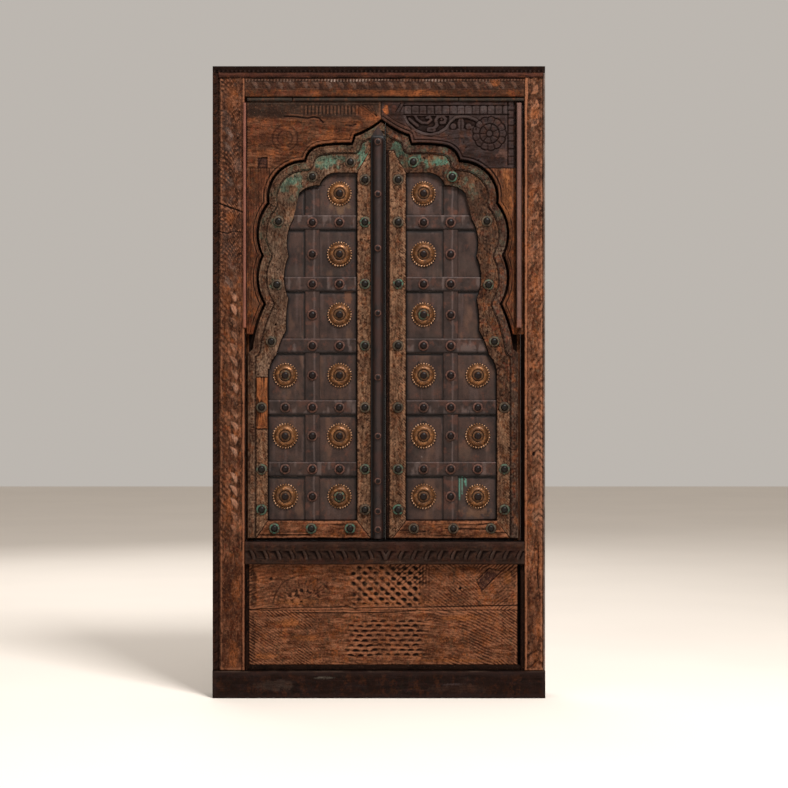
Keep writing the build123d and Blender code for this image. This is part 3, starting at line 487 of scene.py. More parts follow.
def batten(x0, x1, front, back, z0, z1, ease=2.0, waver=0.6, seed=1, size=20):
    """A rounded rectangle carried along its longer side, with a front that wavers.

    Each section has a quarter circle at each corner. The sections shrink by the corner's radius at both
    ends, and noise moves the front half of those in between.
    """
    upright = z1 - z0 > x1 - x0
    wide, deep = (x1 - x0 if upright else z1 - z0), front - back
    angle = (np.arange(16) // 4 * 1.0 + np.arange(16) % 4 / 3.0) * np.pi / 2
    sign_a = np.repeat([1, -1, -1, 1], 4)
    sign_b = np.repeat([1, 1, -1, -1], 4)
    ring = np.stack([
        sign_a * (wide / 2 - ease) + ease * np.cos(angle), sign_b * (deep / 2 - ease) + ease * np.sin(angle)
    ], -1)
    start, end = (z0, z1) if upright else (x0, x1)
    stations = np.concatenate([[start, start + 0.3 * ease], steps(start + ease, end - ease, size)])
    stations = np.concatenate([stations, [end - 0.3 * ease, end]])
    shrink = np.zeros(len(stations))
    shrink[[0, -1]], shrink[[1, -2]] = ease, 0.3 * ease
    scale = 1 - shrink[:, None] * np.array([2 / wide, 2 / deep])
    sections = ring[None] * scale[:, None]
    length = np.repeat(stations[:, None], 16, 1)
    drift = noise(length, np.repeat(ring[None, :, 0], len(stations), 0), 60, seed, 2)
    sections[..., 1] -= waver * drift * (ring[None, :, 1] > 0) * (shrink == 0)[:, None]
    depth = -(sections[..., 1] + (front + back) / 2)
    if upright:
        points = np.stack([(x0 + x1) / 2 + sections[..., 0], depth, length], -1)
    else:
        points = np.stack([length, depth, (z0 + z1) / 2 + sections[..., 0]], -1)
    index = np.arange(len(stations) * 16).reshape(-1, 16)
    groups = [(tube(index), False), (index[:1, ::-1], True), (index[-1:], True)]
    if upright:
        groups = [(faces[:, ::-1], flat) for faces, flat in groups]
    return Part(points.reshape(-1, 3), groups)


def heads(places, radii, heights, around, teeth=None, tilt=0.0, seed=1):
    """Round heads of forged or cast metal, one at each place (X, Z, depth of the seat).

    A profile of radii and heights is turned about its middle. Teeth are a count and, for each ring, the
    share by which its radius shrinks and the height that it loses in the gaps, as a cosine between them.
    Each head is turned, sized and tipped a little differently.
    """
    radii, heights = np.array(radii, float), np.array(heights, float)
    angle = np.arange(around) / around * 2 * np.pi
    count, shrinks, drops = teeth or (1, np.zeros(len(radii)), np.zeros(len(radii)))
    gap = (1 - np.cos(count * angle)) / 2
    reach = radii[:, None] * (1 - np.array(shrinks)[:, None] * gap)
    level = np.maximum(heights[:, None] - np.array(drops)[:, None] * gap, 0)
    one = np.stack([reach * np.cos(angle), level, reach * np.sin(angle)], -1).reshape(-1, 3)
    one = np.concatenate([one, [[0, heights[-1], 0], [0, 0, 0]]])
    gaps = np.concatenate([(gap * (np.array(drops)[:, None] > 0)).ravel(), [0, 0]])
    rings = len(radii)
    index = np.arange(rings * around).reshape(rings, around)
    first, last, top = index[0], index[-1], np.full(around, rings * around)
    caps = [np.stack([last, np.roll(last, -1), top], -1), np.stack([first, top + 1, np.roll(first, -1)], -1)]
    rng = np.random.default_rng(seed)
    places = np.array(places, float)
    turn = rng.random((len(places), 1)) * 2 * np.pi
    slope = tilt * (rng.random((len(places), 2)) - 0.5)
    size = 1 - 0.05 * rng.random((len(places), 1))
    x = (one[None, :, 0] * np.cos(turn) - one[None, :, 2] * np.sin(turn)) * size
    z = (one[None, :, 0] * np.sin(turn) + one[None, :, 2] * np.cos(turn)) * size
    y = one[None, :, 1] + (x * slope[:, :1] + z * slope[:, 1:]) * (one[None, :, 1] > 0.5)
    points = np.stack([x + places[:, :1], -(y + places[:, 2:]), z + places[:, 1:2]], -1).reshape(-1, 3)
    shift = np.arange(len(places))[:, None, None] * len(one)
    faces = [
        ((tube(index)[None] + shift).reshape(-1, 4), False),
        ((np.concatenate(caps)[None] + shift).reshape(-1, 3), False),
    ]
    return Part(
        points, faces, radius=np.tile(np.hypot(one[:, 0], one[:, 2]) / radii.max(), len(places)),
        gap=np.tile(gaps, len(places)), own=np.repeat(rng.random(len(places)), len(one)),
    )


def add_node(tree, kind, inputs=None, **settings):
    """Adds a node, sets its properties, and sets or links its inputs."""
    made = tree.nodes.new(kind)
    for key, value in settings.items():
        setattr(made, key, value)
    for key, value in (inputs or {}).items():
        if isinstance(value, bpy.types.NodeSocket):
            tree.links.new(value, made.inputs[key])
        else:
            made.inputs[key].default_value = value
    return made


def start_material(name, patterns, keys, roughness, metallic=0.0, specular=0.5):
    """A material with one Principled shader, its node tree, noise for each pattern, and what points carry.

    A pattern is the size of its features in millimetres along X, Y and Z, its detail, roughness and
    distortion, and how far it is moved. The keys name the values that a piece's points carry.
    """
    material = bpy.data.materials.new(name)
    material.use_nodes = True
    tree = material.node_tree
    shader = tree.nodes["Principled BSDF"]
    for key, value in (("Roughness", roughness), ("Metallic", metallic), ("Specular IOR Level", specular)):
        shader.inputs[key].default_value = value
    place = add_node(tree, "ShaderNodeTexCoord").outputs["Object"]
    noises = []
    for sizes, detail, rough, distortion, move in patterns:
        scale = tuple(1 / (size * MM) for size in sizes)
        mapped = add_node(tree, "ShaderNodeMapping", {"Vector": place, "Scale": scale, "Location": move})
        noises.append(add_node(tree, "ShaderNodeTexNoise", {
            "Vector": mapped.outputs[0], "Scale": 1.0, "Detail": detail, "Roughness": rough,
            "Distortion": distortion,
        }).outputs[0])
    carried = [add_node(tree, "ShaderNodeAttribute", attribute_name=key).outputs for key in keys]
    return material, tree, noises, carried


def mask(tree, *factors):
    """The product of its factors. A factor is a value, or a value and the numbers that map it smoothly.

    The numbers are a low and a high value and what they become, which is 0 and 1 unless it is given.
    """
    product = None
    for value, *numbers in factors:
        if numbers:
            inputs = dict(enumerate((value, *numbers)))
            value = add_node(tree, "ShaderNodeMapRange", inputs, interpolation_type="SMOOTHSTEP").outputs[0]
        if product is not None:
            value = add_node(tree, "ShaderNodeMath", {0: product, 1: value}, operation="MULTIPLY").outputs[0]
        product = value
    return product


def layered(tree, base, *layers):
    """Lays colours over a base, each by a mask of its own factors."""
    for colour, *factors in layers:
        inputs = {0: mask(tree, *factors), 6: base, 7: colour}
        base = add_node(tree, "ShaderNodeMix", inputs, data_type="RGBA").outputs[2]
    return base


def finish_material(material, colour, roughness, height, depth, strength):
    """Links a colour, a mapped roughness and a bump that is some millimetres deep to the shader."""
    tree = material.node_tree
    bump = add_node(tree, "ShaderNodeBump", {"Height": height, "Distance": depth * MM, "Strength": strength})
    links = {"Base Color": colour, "Roughness": mask(tree, roughness), "Normal": bump.outputs[0]}
    for key, value in links.items():
        tree.links.new(value, tree.nodes["Principled BSDF"].inputs[key])
    return material


def shade(colour, factor=1):
    """A colour in linear light made darker or lighter, with an alpha of 1."""
    return (*[min(1.0, channel * factor) for channel in linear(colour)[:3]], 1.0)


def timber(name, light=1, dark=1, grain="z", rough=0.85, carved=True, mottle=0.6, soot=0.6, fibre=14.0):
    """Old teak or sheesham, adzed and carved, dry and unwaxed.

    The eye sees rubbed ridges, orange, red and green-grey mottling one to two centimetres wide, brown open
    grain drawn out along the board, soot and painted shade in the hollows and dark and pale specks; plain
    boards get painted shade on their front faces, which lie back in the dark gaps. Grain lines and specks
    are drawn 2 to 5 mm wide, coarser than real pores, so that they show. The light and the dark tone are
    colours, or shares of the window's own worn and brown timber.
    """
    settings = timber_settings()
    light = shade(settings.worn, light) if isinstance(light, (int, float)) else shade(light)
    dark = shade(settings.brown, dark) if isinstance(dark, (int, float)) else shade(dark)
    dirt = shade(settings.dirt)
    fine, broad = ((2.6, 2.6, fibre), (12, 12, 60)) if grain == "z" else ((fibre, 2.6, 2.6), (60, 12, 12))
    keys = ("stain", "hollow") if carved else ()
    material, tree, (lines, bands, cloud, blotch, ruddy, film, speck), carried = start_material(name, (
        (fine, 4, 0.55, 0.4, UNMOVED), (broad, 4, 0.55, 0.8, UNMOVED), ((60, 60, 60), 5, 0.65, 0, UNMOVED),
        ((22, 22, 30), 5, 0.7, 0, (3, 1, 8)), ((12, 12, 16), 4, 0.7, 0, (5, 12, 6)),
        ((13, 13, 18), 4, 0.7, 0, (9, 4, 2)), ((4.5, 4.5, 6), 3, 0.75, 0, UNMOVED),
    ), keys, rough, specular=0.06)
    if carved:
        stain, hollow = carried
        painted = [(stain["Color"], (stain["Alpha"],), (speck, 0.35, 0.5, 0.6, 1))]
        # Soot and painted shade in the hollows and in the gaps, and paler rubbed ridges.
        painted_shade_and_rubbing = [
            (shade(dirt, 0.35), (hollow["Fac"], 0.05, 0.95, 0, 0.95)),
            (shade(light, 1.4), (hollow["Fac"], -0.05, -0.6, 0, 0.5)),
        ]
    else:
        # Plain timber: painted shade on the faces that stand forward, the fronts of the boards in the dark
        # gaps.
        place = add_node(tree, "ShaderNodeTexCoord").outputs["Object"]
        depth = add_node(tree, "ShaderNodeSeparateXYZ", {0: place}).outputs["Y"]
        painted, painted_shade_and_rubbing = [], [(shade(dirt, 0.25), (depth, -0.0118, -0.011, 0.96, 0))]
    wood = layered(
        tree, dark, (light, (bands, 0.38, 0.62)), (shade(settings.orange), (blotch, 0.5, 0.64, 0, mottle)),
        (shade(settings.red), (ruddy, 0.52, 0.64, 0, mottle)),
        (shade(settings.moss), (film, 0.52, 0.66, 0, mottle)), *painted,
        (dirt, (cloud, 0.41, 0.6, soot, 0)), (dirt, (lines, 0.36, 0.55, 0.5, 0)),
        (shade(dirt, 0.8), (speck, 0.46, 0.34, 0, 0.6)), (shade(light, 1.4), (speck, 0.56, 0.7, 0, 0.4)),
        *painted_shade_and_rubbing,
    )
    height = add_node(tree, "ShaderNodeMath", {0: speck, 1: 0.8, 2: lines}, operation="MULTIPLY_ADD")
    roughness = (cloud, 0.3, 0.7, rough - 0.12, rough + 0.1)
    return finish_material(material, wood, roughness, height.outputs[0], 1.6, 1.0)


def sheet_iron(name, light, dark, rust, rough=0.62):
    """Wrought iron sheet and strap, hammered flat and left bare.

    The eye sees a matt purplish brown oxide with paler upright streaks where rain ran, brown rust, and a
    faint sheen on the hammer marks, which are about 20 mm wide.
    """
    material, tree, (cloud, fine, drips, spots, hammer), (stain, hollow) = start_material(name, (
        ((60, 60, 80), 5, 0.6, 0, UNMOVED), ((3.6, 3.6, 3.6), 3, 0.7, 0, UNMOVED),
        ((11, 11, 190), 3, 0.55, 0, UNMOVED), ((26, 26, 34), 6, 0.7, 0, (7, 3, 5)),
        ((20, 20, 20), 1, 0.55, 0, UNMOVED),
    ), ("stain", "hollow"), rough, specular=0.22)
    colour = layered(
        tree, shade(dark), (shade(light), (cloud, 0.36, 0.64)),
        (shade(light, 1.25), (drips, 0.52, 0.7, 0, 0.28)), (shade(rust), (spots, 0.53, 0.68, 0, 0.75)),
        (shade(dark, 0.45), (fine, 0.46, 0.34, 0, 0.5)),
        (stain["Color"], (stain["Alpha"],), (fine, 0.3, 0.5, 0.7, 1)),
        # Soot and painted shade in the dents and at the rim by the gaps.
        (shade(dark, 0.25), (hollow["Fac"], 0.1, 0.7, 0, 0.85)),
    )
    height = add_node(tree, "ShaderNodeMath", {0: fine, 1: 0.3, 2: hammer}, operation="MULTIPLY_ADD")
    roughness = (cloud, 0.3, 0.7, rough + 0.1, rough - 0.12)
    return finish_material(material, colour, roughness, height.outputs[0], 1.4, 0.7)


def stud_iron(name, head, washer, film, rim=0.62):
    """Forged iron, a dome over a washer: the dome oiled nearly black, the washer brown with rust."""
    material, tree, (cloud, spots), carried = start_material(name, (
        ((9, 9, 9), 4, 0.65, 0, UNMOVED), ((7, 7, 7), 3, 0.7, 0, (4, 2, 9)),
    ), ("radius", "own"), 0.5, specular=0.15)
    radius, own = (outputs["Fac"] for outputs in carried)
    flange = layered(
        tree, shade(washer, 0.5), (shade(washer, 1.15), (cloud, 0.4, 0.62)),
        (shade(film), (own, 0.4, 0.9, 0.15, 1), (spots, 0.44, 0.56)),
        # Painted shade at the washer's rim and round the foot of the dome.
        (shade(head, 0.5), (radius, 0.9, 1, 0, 0.8)),
        (shade(head, 0.4), (radius, rim + 0.1, rim + 0.02, 0, 0.8)),
    )
    outside = (radius, rim - 0.04, rim + 0.04)
    colour = layered(tree, shade(head), (flange, outside))
    return finish_material(material, colour, (*outside, 0.38, 0.75), cloud, 1.2, 0.6)


def cast_brass(name, bright, deep, soot):
    """Cast and chased brass, rubbed bright on some points and on its crest, brown with old polish beside."""
    material, tree, (cloud, fine, chance), carried = start_material(name, (
        ((14, 14, 14), 5, 0.65, 0, UNMOVED), ((2.4, 2.4, 2.4), 2, 0.55, 0, UNMOVED),
        ((10, 10, 10), 3, 0.7, 0, (8, 3, 1)),
    ), ("radius", "own", "gap"), 0.45, metallic=0.65)
    radius, own, gap = (outputs["Fac"] for outputs in carried)
    dull = add_node(tree, "ShaderNodeMath", {0: own, 1: 0.14, 2: cloud}, operation="MULTIPLY_ADD").outputs[0]
    body = layered(
        tree, shade(deep), (shade(soot), (dull, 0.42, 0.66)), (shade(deep, 1.7), (chance, 0.5, 0.64, 0, 0.8)),
        # Soot and painted shade round the nail.
        (shade(soot, 0.35), (radius, 0.53, 0.44, 0, 0.8)),
    )
    point = layered(
        tree, shade(deep, 0.9), (shade(bright, 0.75), (chance, 0.42, 0.64)),
        # Soot and painted shade in the gaps between the points.
        (shade(soot, 0.2), (gap, 0.3, 0.75)),
    )
    colour = layered(
        tree, body, (point, (radius, 0.85, 0.87)),
        # Soot and painted shade in the groove between the crest and the points.
        (shade(soot, 0.25), (radius, 0.8, 0.84), (radius, 0.88, 0.85), (0.6,)),
    )
    return finish_material(material, colour, (cloud, 0.3, 0.7, 0.32, 0.6), fine, 0.7, 0.6)


class Leaf:
    """The lines of one leaf that its timber follows, and the corners that belong together."""

    def __init__(self, name, side, other_half):
        """The side is -1 on the left and 1 on the right; the half is the other leaf's width from the axis."""
        moulding, rail, meeting = (
            Box(f"{name}_{node}") for node in ("cusp_moulding", "bottom_rail", "meeting_stile")
        )
        self.name, self.side = name, side
        self.edge = moulding.x0 if side < 0 else moulding.x1
        self.meeting = moulding.x1 if side < 0 else moulding.x0
        self.meeting_edge = meeting.x1 if side < 0 else meeting.x0
        self.half = abs(self.edge - ARCH_AXIS)
        self.crown = Box("left_leaf_cusp_moulding").z1
        self.stile = self.edge - side * STILE_WIDTHS[side]
        self.stile_top = Box("left_leaf_stile_patch" if side < 0 else "right_leaf_outer_stile").z1
        self.low, self.rail_top, self.peak = moulding.z0, rail.z1, meeting.z1
        self.back, self.border_front, self.moulding_front = moulding.back, rail.front, moulding.front
        self.near = ARCH_AXIS + side * PANEL_NEAR
        self.panel_top = self.at(*PANEL_LINE[-1][:2])[1]
        self.inside = self.edge - side * MOULDING_WIDTH
        rising = self.trace(ARCH_LINE)
        past = np.stack([
            ARCH_AXIS - (rising[::-1, 0] - ARCH_AXIS) * other_half / self.half, rising[::-1, 1]
        ], -1)
        whole = np.concatenate([rising, past[1:]])
        passed = (whole[:, 0] - self.meeting) * side < 0
        last = int(np.argmax(passed))
        a, b = whole[last - 1], whole[last]
        end = a + (self.meeting - a[0]) / (b[0] - a[0]) * (b - a)
        foot = straight((self.edge, self.low), (self.edge, self.stile_top), whole[0])
        self.whole = whole
        self.arch = np.concatenate([foot[:-1], whole[:last], end[None]])
        shoulder = self.at(*PANEL_LINE[0][:2])
        self.panel = np.concatenate([
            straight((self.stile, self.low), (self.stile, self.stile_top), (self.stile, shoulder[1]),
                     shoulder)[:-1],
            self.trace(PANEL_LINE),
        ])
        point = (self.column(MEETING_POINT_OFFSET), self.peak)
        tail = straight(self.panel[-1], (self.near, self.panel_top), point, (self.meeting, self.peak))
        self.inner = np.concatenate([self.panel[:-1], tail])
        self.arch_corners = [(self.edge, self.stile_top)]
        self.arch_corners += [self.at(*ARCH_LINE[i][:2]) for i in (0, 2, 3, 4, 5, 6, 7)]
        self.inner_corners = [(self.stile, self.stile_top)]
        self.inner_corners += [self.at(*PANEL_LINE[i][:2]) for i in (0, 2, 3, 4, 5, 6, 7)]

    def at(self, across, up):
        """The point at a share of the half width and of the rise."""
        return ARCH_AXIS + self.side * across * self.half, ARCH_SPRING + up * (self.crown - ARCH_SPRING)

    def column(self, offset):
        """The X at a distance from the middle of the arch."""
        return ARCH_AXIS + self.side * offset

    def trace(self, line):
        """Points along a cusped line of arcs, up to its last point."""
        pieces = [arc(self.at(*a[:2]), self.at(*b[:2]), b[2], self.side) for a, b in zip(line, line[1:])]
        return np.concatenate([*pieces, [self.at(*line[-1][:2])]])

    def outer_x(self, z):
        """The X of the panel's outer edge at each height."""
        order = np.argsort(self.panel[:, 1], kind="stable")
        return np.interp(z, self.panel[order, 1], self.panel[order, 0])


LEFT = Leaf("left_leaf", -1, Box("right_leaf_cusp_moulding").x1 - ARCH_AXIS)
RIGHT = Leaf("right_leaf", 1, ARCH_AXIS - Box("left_leaf_cusp_moulding").x0)


def at_distance(start, end, line, distance):
    """The point on each rule where it first reaches a distance from a line, going from start to end."""
    share = np.linspace(0, 1, 81)
    points = start[:, None] * (1 - share[None, :, None]) + end[:, None] * share[None, :, None]
    d = distance_to(line, points[..., 0], points[..., 1])
    first = np.clip(np.argmax(d >= distance, axis=1), 1, None)
    row = np.arange(len(start))
    before, after = d[row, first - 1], d[row, first]
    t = share[first - 1] + np.clip((distance - before) / (after - before), 0, 1) * (share[1] - share[0])
    return start * (1 - t[:, None]) + end * t[:, None]


def lenses(across, along, pitch, middle, length, width, lean, curl=0.0):
    """A row of carved leaves, one at each multiple of the pitch: lens shapes that lean by an angle.

    A leaf is full on its own middle line and falls to nothing where distance over width plus the square
    of distance along over length reaches 1; a fine vein is cut down its middle.
    """
    nearest = np.round(along / pitch)
    best = np.zeros(across.shape)
    for step in (-1, 0, 1):
        a, b = across - middle, along - (nearest + step) * pitch
        v = b * np.cos(lean) - a * np.sin(lean)
        u = a * np.cos(lean) + b * np.sin(lean) + curl * v**2 / length
        swell = smooth(1.05, 0.4, np.abs(u) / width + (v / length) ** 2)
        best = np.maximum(best, swell * (1 - 0.3 * np.exp(-((u / (0.25 * width)) ** 2))))
    return best


def strokes(x, z, pitch, slope, seed, stray=4.0):
    """Gouge strokes: a rounded ridge for each pitch along Z plus slope times X, with sharp valleys."""
    phase = (z + slope * x + stray * (noise(x, z, 50, seed, 2) - 0.5)) / pitch
    return np.abs(np.sin(np.pi * phase)) ** 0.6


def pocks(x, z, pitch, seed, share=1.0, size=0.28):
    """Punch marks, one at a random place in each cell of a grid, from 0 outside to 1 in the middle."""
    i, j = np.floor(x / pitch).astype(int), np.floor(z / pitch).astype(int)
    rng = np.random.default_rng(seed)
    shift, kept = 0.3 + 0.4 * rng.random((2, 97, 97)), rng.random((97, 97)) < share
    dx = x / pitch - i - shift[0, i % 97, j % 97]
    dz = z / pitch - j - shift[1, i % 97, j % 97]
    return smooth(size, 0.3 * size, np.hypot(dx, dz)) * kept[i % 97, j % 97]


def timber_settings():
    """The sizes and colours of the timber that a user can change."""
    return bpy.context.scene.window_timber


def leaf_sizes():
    """How deep and how far apart the carved leaves are, in millimetres."""
    settings = timber_settings()
    return settings.carve_depth / MM, settings.leaf_pitch / MM


def furrows(value, pitch):
    """Rounded ridges with sharp valleys, a pitch apart: 1 in the valleys, by the sine of the value."""
    return 1 - np.abs(np.sin(np.pi * value / pitch)) ** 0.6


def speckle(skin, seed, pale, strength=1.0, size=4.5):
    """Old punch work worn down: pits 3 to 5 mm wide with dirt in them, and pale grains between."""
    grain = noise(skin.x, skin.z, size, seed, 2)
    cloud = 0.3 + 0.7 * noise(skin.x, skin.z, 30, seed + 3, 2)
    pits = smooth(0.42, 0.26, grain) * strength * cloud
    skin.mark(pits, 1.8, 0.75, "#1e120c")
    skin.paint(0.6 * strength * cloud * smooth(0.59, 0.74, grain), pale)


def inside_of(corners, x, z):
    """How far each point lies inside a convex shape whose corners run clockwise; negative outside it."""
    corners = np.array(corners, float)
    runs = np.roll(corners, -1, 0) - corners
    sides = [((x - a) * v - (z - b) * u) / np.hypot(u, v) for (a, b), (u, v) in zip(corners, runs)]
    return np.min(sides, axis=0)


def carve_left_jamb(skin):
    """A band of leaning leaves below, dense small marks above, and at the foot almost nothing left."""
    x, z = wander(skin, 3.5, 40, 3)
    depth, pitch = leaf_sizes()
    band = within(x, -479, -474, -417, -412)
    leaf = lenses(x, z, pitch, -434, 22, 9, 0.5, 0.3)
    below = lenses(x - 5, z + 11, pitch, -434, 22, 8, 0.5, 0.3)
    beside = 0.6 * strokes(x, z, pitch / 2, 1.2, 5) * smooth(-444, -452, x)
    rough = 0.15 + 0.85 * smooth(0.3, 0.65, noise(x, z, 42, 9, 2))
    high = smooth(1180, 1330, z)
    feather = furrows(z + 1.4 * x + 0.02 * (x + 445) ** 2 + 16 * noise(x, z, 34, 7, 2), 13)
    crossed = furrows(z - 1.1 * x + 14 * noise(x, z, 30, 8, 2), 17)
    marks = pocks(x, z, 13, 6, 0.8, 0.42)
    low = (1 - high) * (0.15 + 0.85 * smooth(400, 520, z))
    skin.cut(depth * (1 - np.maximum(leaf, beside)) * band * low * rough)
    skin.cut(band * high * rough * (1.6 * feather + 1.2 * crossed + 0.9 * marks))
    skin.cut(1.6 * about(skin.x + 412, 1, 2.5) + 2.0 * about(skin.x + 479, 1, 3))
    skin.paint(high * 0.62, "#2a1712")
    # Painted sheen: grey marks over the upper part.
    skin.paint(high * band * smooth(0.5, 0.7, noise(x, z, 16, 10, 3)) * 0.5, "#5d4a42")
    # Painted shadow under each carved leaf, then a painted highlight on the leaves.
    skin.paint((below * (1 - leaf)) * smooth(440, 560, z) * (1 - high) * 0.75, "#1c0e08")
    skin.paint(leaf * smooth(440, 560, z) * (1 - high) * rough * 0.85, "#a3826f")
    skin.paint(smooth(470, 380, z) * 0.65, "#381708")
    skin.paint(smooth(-462, -480, x) * 0.8, "#150b07")
    skin.paint(smooth(-415, -410, x) * 0.4, "#3d1f17")
    for place in ((-455, 1195, 12, 30), (-440, 1800, 16, 50), (-430, 330, 15, 44), (-436, 130, 16, 36),
                  (-452, 560, 9, 60), (-447, 1440, 14, 20)):
        skin.patch(*place, "#7c4524", 0.6, seed=21, dent=0.6)
    for rise in (1650, 1700, 1560, 1250):
        skin.patch(-450, rise, 9, 20, "#6b5c54", 0.5, 23, 0, 0.5, -0.5)
    speckle(skin, 25, "#8a6a55", 0.4, 5)
    skin.wear(1.2, 70, 11)
    skin.groove([(-480, 1487), (-462, 1481), (-447, 1474), (-430, 1469), (-411, 1461)], 5, 4, "#100906")
    skin.groove([(-480, 1402), (-455, 1397), (-436, 1404), (-411, 1400)], 4, 3, "#100906")


def carve_right_jamb(skin):
    """Folded leaves beside a stem on the lower half, strokes and curls above, all rubbed nearly flat."""
    x, z = wander(skin, 3.5, 36, 13)
    depth, pitch = leaf_sizes()
    band = within(x, 446, 450, 492, 495)
    fold = np.abs(x - 480)
    rough = 0.3 + 0.7 * smooth(0.3, 0.7, noise(x, z, 46, 39, 2))
    folded = 1 - furrows(z + 1.1 * fold + 5 * noise(x, z, 40, 31, 2), pitch * 0.55)
    stroke = 1 - furrows(z - 1.1 * x + 12 * noise(x, z, 36, 33, 2), pitch * 0.6)
    curl = lenses(x, z, pitch * 1.2, 472, 22, 11, -0.5, 0.5)
    foot = 1 - furrows(z + 0.8 * fold + 16 * noise(x, z, 40, 35, 2), pitch)
    stem = smooth(5, 2, fold)
    inner = smooth(456, 468, x)
    low = within(z, 445, 500, 860, 930)
    ground = within(z, 60, 100, 310, 350)
    middle, top = within(z, 860, 930, 1300, 1380), smooth(1300, 1380, z)
    skin.cut(rough * depth * band * inner * low * (1 - np.maximum(folded, 0.6 * stem)))
    skin.cut(rough * 1.2 * depth * band * ground * (1 - foot))
    skin.cut(rough * 0.8 * depth * band * middle * (1 - stroke))
    skin.cut(rough * 0.9 * depth * band * top * (1 - curl))
    skin.cut(0.8 * rough * band * (middle + top + ground) * pocks(x, z, 14, 37, 0.7, 0.4))
    skin.paint(rough * band * inner * low * (1 - folded) * 0.8, "#1c1a12")
    skin.paint(rough * band * low * folded * inner * 0.35, "#9a7660")
    skin.paint(rough * band * top * curl * 0.4, "#8d705f")
    skin.paint(rough * ground * (1 - foot) * 0.7, "#1d100a")
    skin.paint(smooth(420, 330, z) * 0.5, "#3b1c0f")
    skin.paint(smooth(1280, 1500, z) * 0.42, "#241a15")
    for place in ((480, 215, 10, 34), (470, 120, 9, 26), (484, 420, 9, 50), (488, 840, 7, 40),
                  (470, 1240, 10, 30), (458, 1500, 9, 40), (470, 1760, 14, 20)):
        skin.patch(*place, "#8a4e2b", 0.55, seed=36, dent=0.5)
    skin.patch(465, 735, 4.5, 7, "#140c08", 0.95, 35, 2, 0.2)
    speckle(skin, 38, "#95765f", 0.45, 5)
    skin.wear(1.0, 60, 33)
    skin.groove([(478, 470), (480, 420), (477, 370), (479, 330)], 4, 3, "#1b0f0a")
    skin.groove([(448, 90), (447, 1800)], 3, 2)
    skin.groove([(492.5, 90), (492.5, 1860)], 3, 2.4, "#1d130f", 0.6)


def carve_head(skin):
    """A row of leaning leaves under a row of beads, over a plain rubbed band."""
    depth, pitch = leaf_sizes()
    x, z = wander(skin, 2.0, 45, 41)
    band = within(z, 1830, 1833, 1853, 1856)
    leaf = lenses(z, x, pitch * 0.95, 1844, 19, 8, 0.95, 0.4)
    skin.cut(depth * (1 - np.maximum(leaf, 0.5 * strokes(z, x, pitch / 4, 0.8, 42))) * band)
    skin.paint(smooth(1827, 1833, z) * 0.6, "#33251f")
    skin.paint(leaf * band * 0.45, "#65564e")
    bead = np.abs(np.cos(np.pi * skin.x / 9.5)) * within(z, 1853.5, 1855, 1860, 1861.5)
    skin.cut(2.4 * within(z, 1853, 1854.5, 1860.5, 1862) - 2.4 * bead)
    bright = within(x, -200, -160, 0, 40) + within(x, 120, 150, 190, 210)
    skin.paint(smooth(0.7, 0.95, bead) * (0.25 + 0.6 * bright), "#a9988d")
    skin.groove([(-403, 1829.5), (438, 1829.5)], 2.5, 1.2, "#1a100c", 0.6)
    skin.groove([(-403, 1863.5), (438, 1863.5)], 4, 3, "#0f0805")
    skin.patches(
        (85, 1819, 110, 9, "#864b29", 0.7, 44, 0.5), (-45, 1822, 60, 7, "#864b29", 0.6, 46, 0.5),
        (350, 1850, 16, 12, "#8a4e2b", 0.7, 47, 0.8), (-260, 1818, 90, 7, "#5f3424", 0.5, 45),
    )
    skin.wear(0.8, 60, 43, grain="x")


def spandrel_skin(leaf, box, board_edge, size):
    """Between the arch and the head: under each X, the board ends where discs round the arch's points reach.

    The lower line is the highest of arch height plus the square root of the gap squared less the distance
    along X squared, or the foot of the board where the arch is below it.
    """
    x = steps(ARCH_AXIS, board_edge, size)
    reach = ARCH_GAP**2 - (x[:, None] - leaf.whole[None, :, 0]) ** 2
    lift = np.where(reach > 0, leaf.whole[None, :, 1] + np.sqrt(np.maximum(reach, 0)), box.z0)
    low = np.stack([x, np.maximum(lift.max(1), box.z0)], -1)
    high = np.stack([x, np.full(len(x), box.z1)], -1)
    return Skin(*between(low, high, size), box.front, 1.5)


def side_board_skin(leaf, box, board_edge, size):
    """Beside the arch: at each height the board ends where discs round the arch's points reach."""
    z = steps(box.z0, box.z1, size)
    reach = ARCH_GAP**2 - (z[:, None] - leaf.whole[None, :, 1]) ** 2
    out = (leaf.whole[None, :, 0] - ARCH_AXIS) * leaf.side + np.sqrt(np.maximum(reach, 0))
    inner = ARCH_AXIS + leaf.side * np.where(reach > 0, out, 0).max(1)
    first, last = np.stack([inner, z], -1), np.stack([np.full(len(z), board_edge), z], -1)
    return Skin(*between(first, last, size), box.front, 1.5)


def board_edge(side):
    """Where the front of the arch boards meets the bead strips."""
    return Box("left_bead_strip").x1 if side < 0 else Box("right_spandrel").x1 - RIGHT_BOARD_INSET


def tongue(side, node):
    """The thin edge of an arch board that runs on behind the bead strip to the jamb."""
    box = Box(node)
    ends = sorted((board_edge(side), box.x0 if side < 0 else box.x1))
    return batten(*ends, box.back + BOARD_REBATE, box.back, box.z0, box.z1, ease=0.5, waver=0)


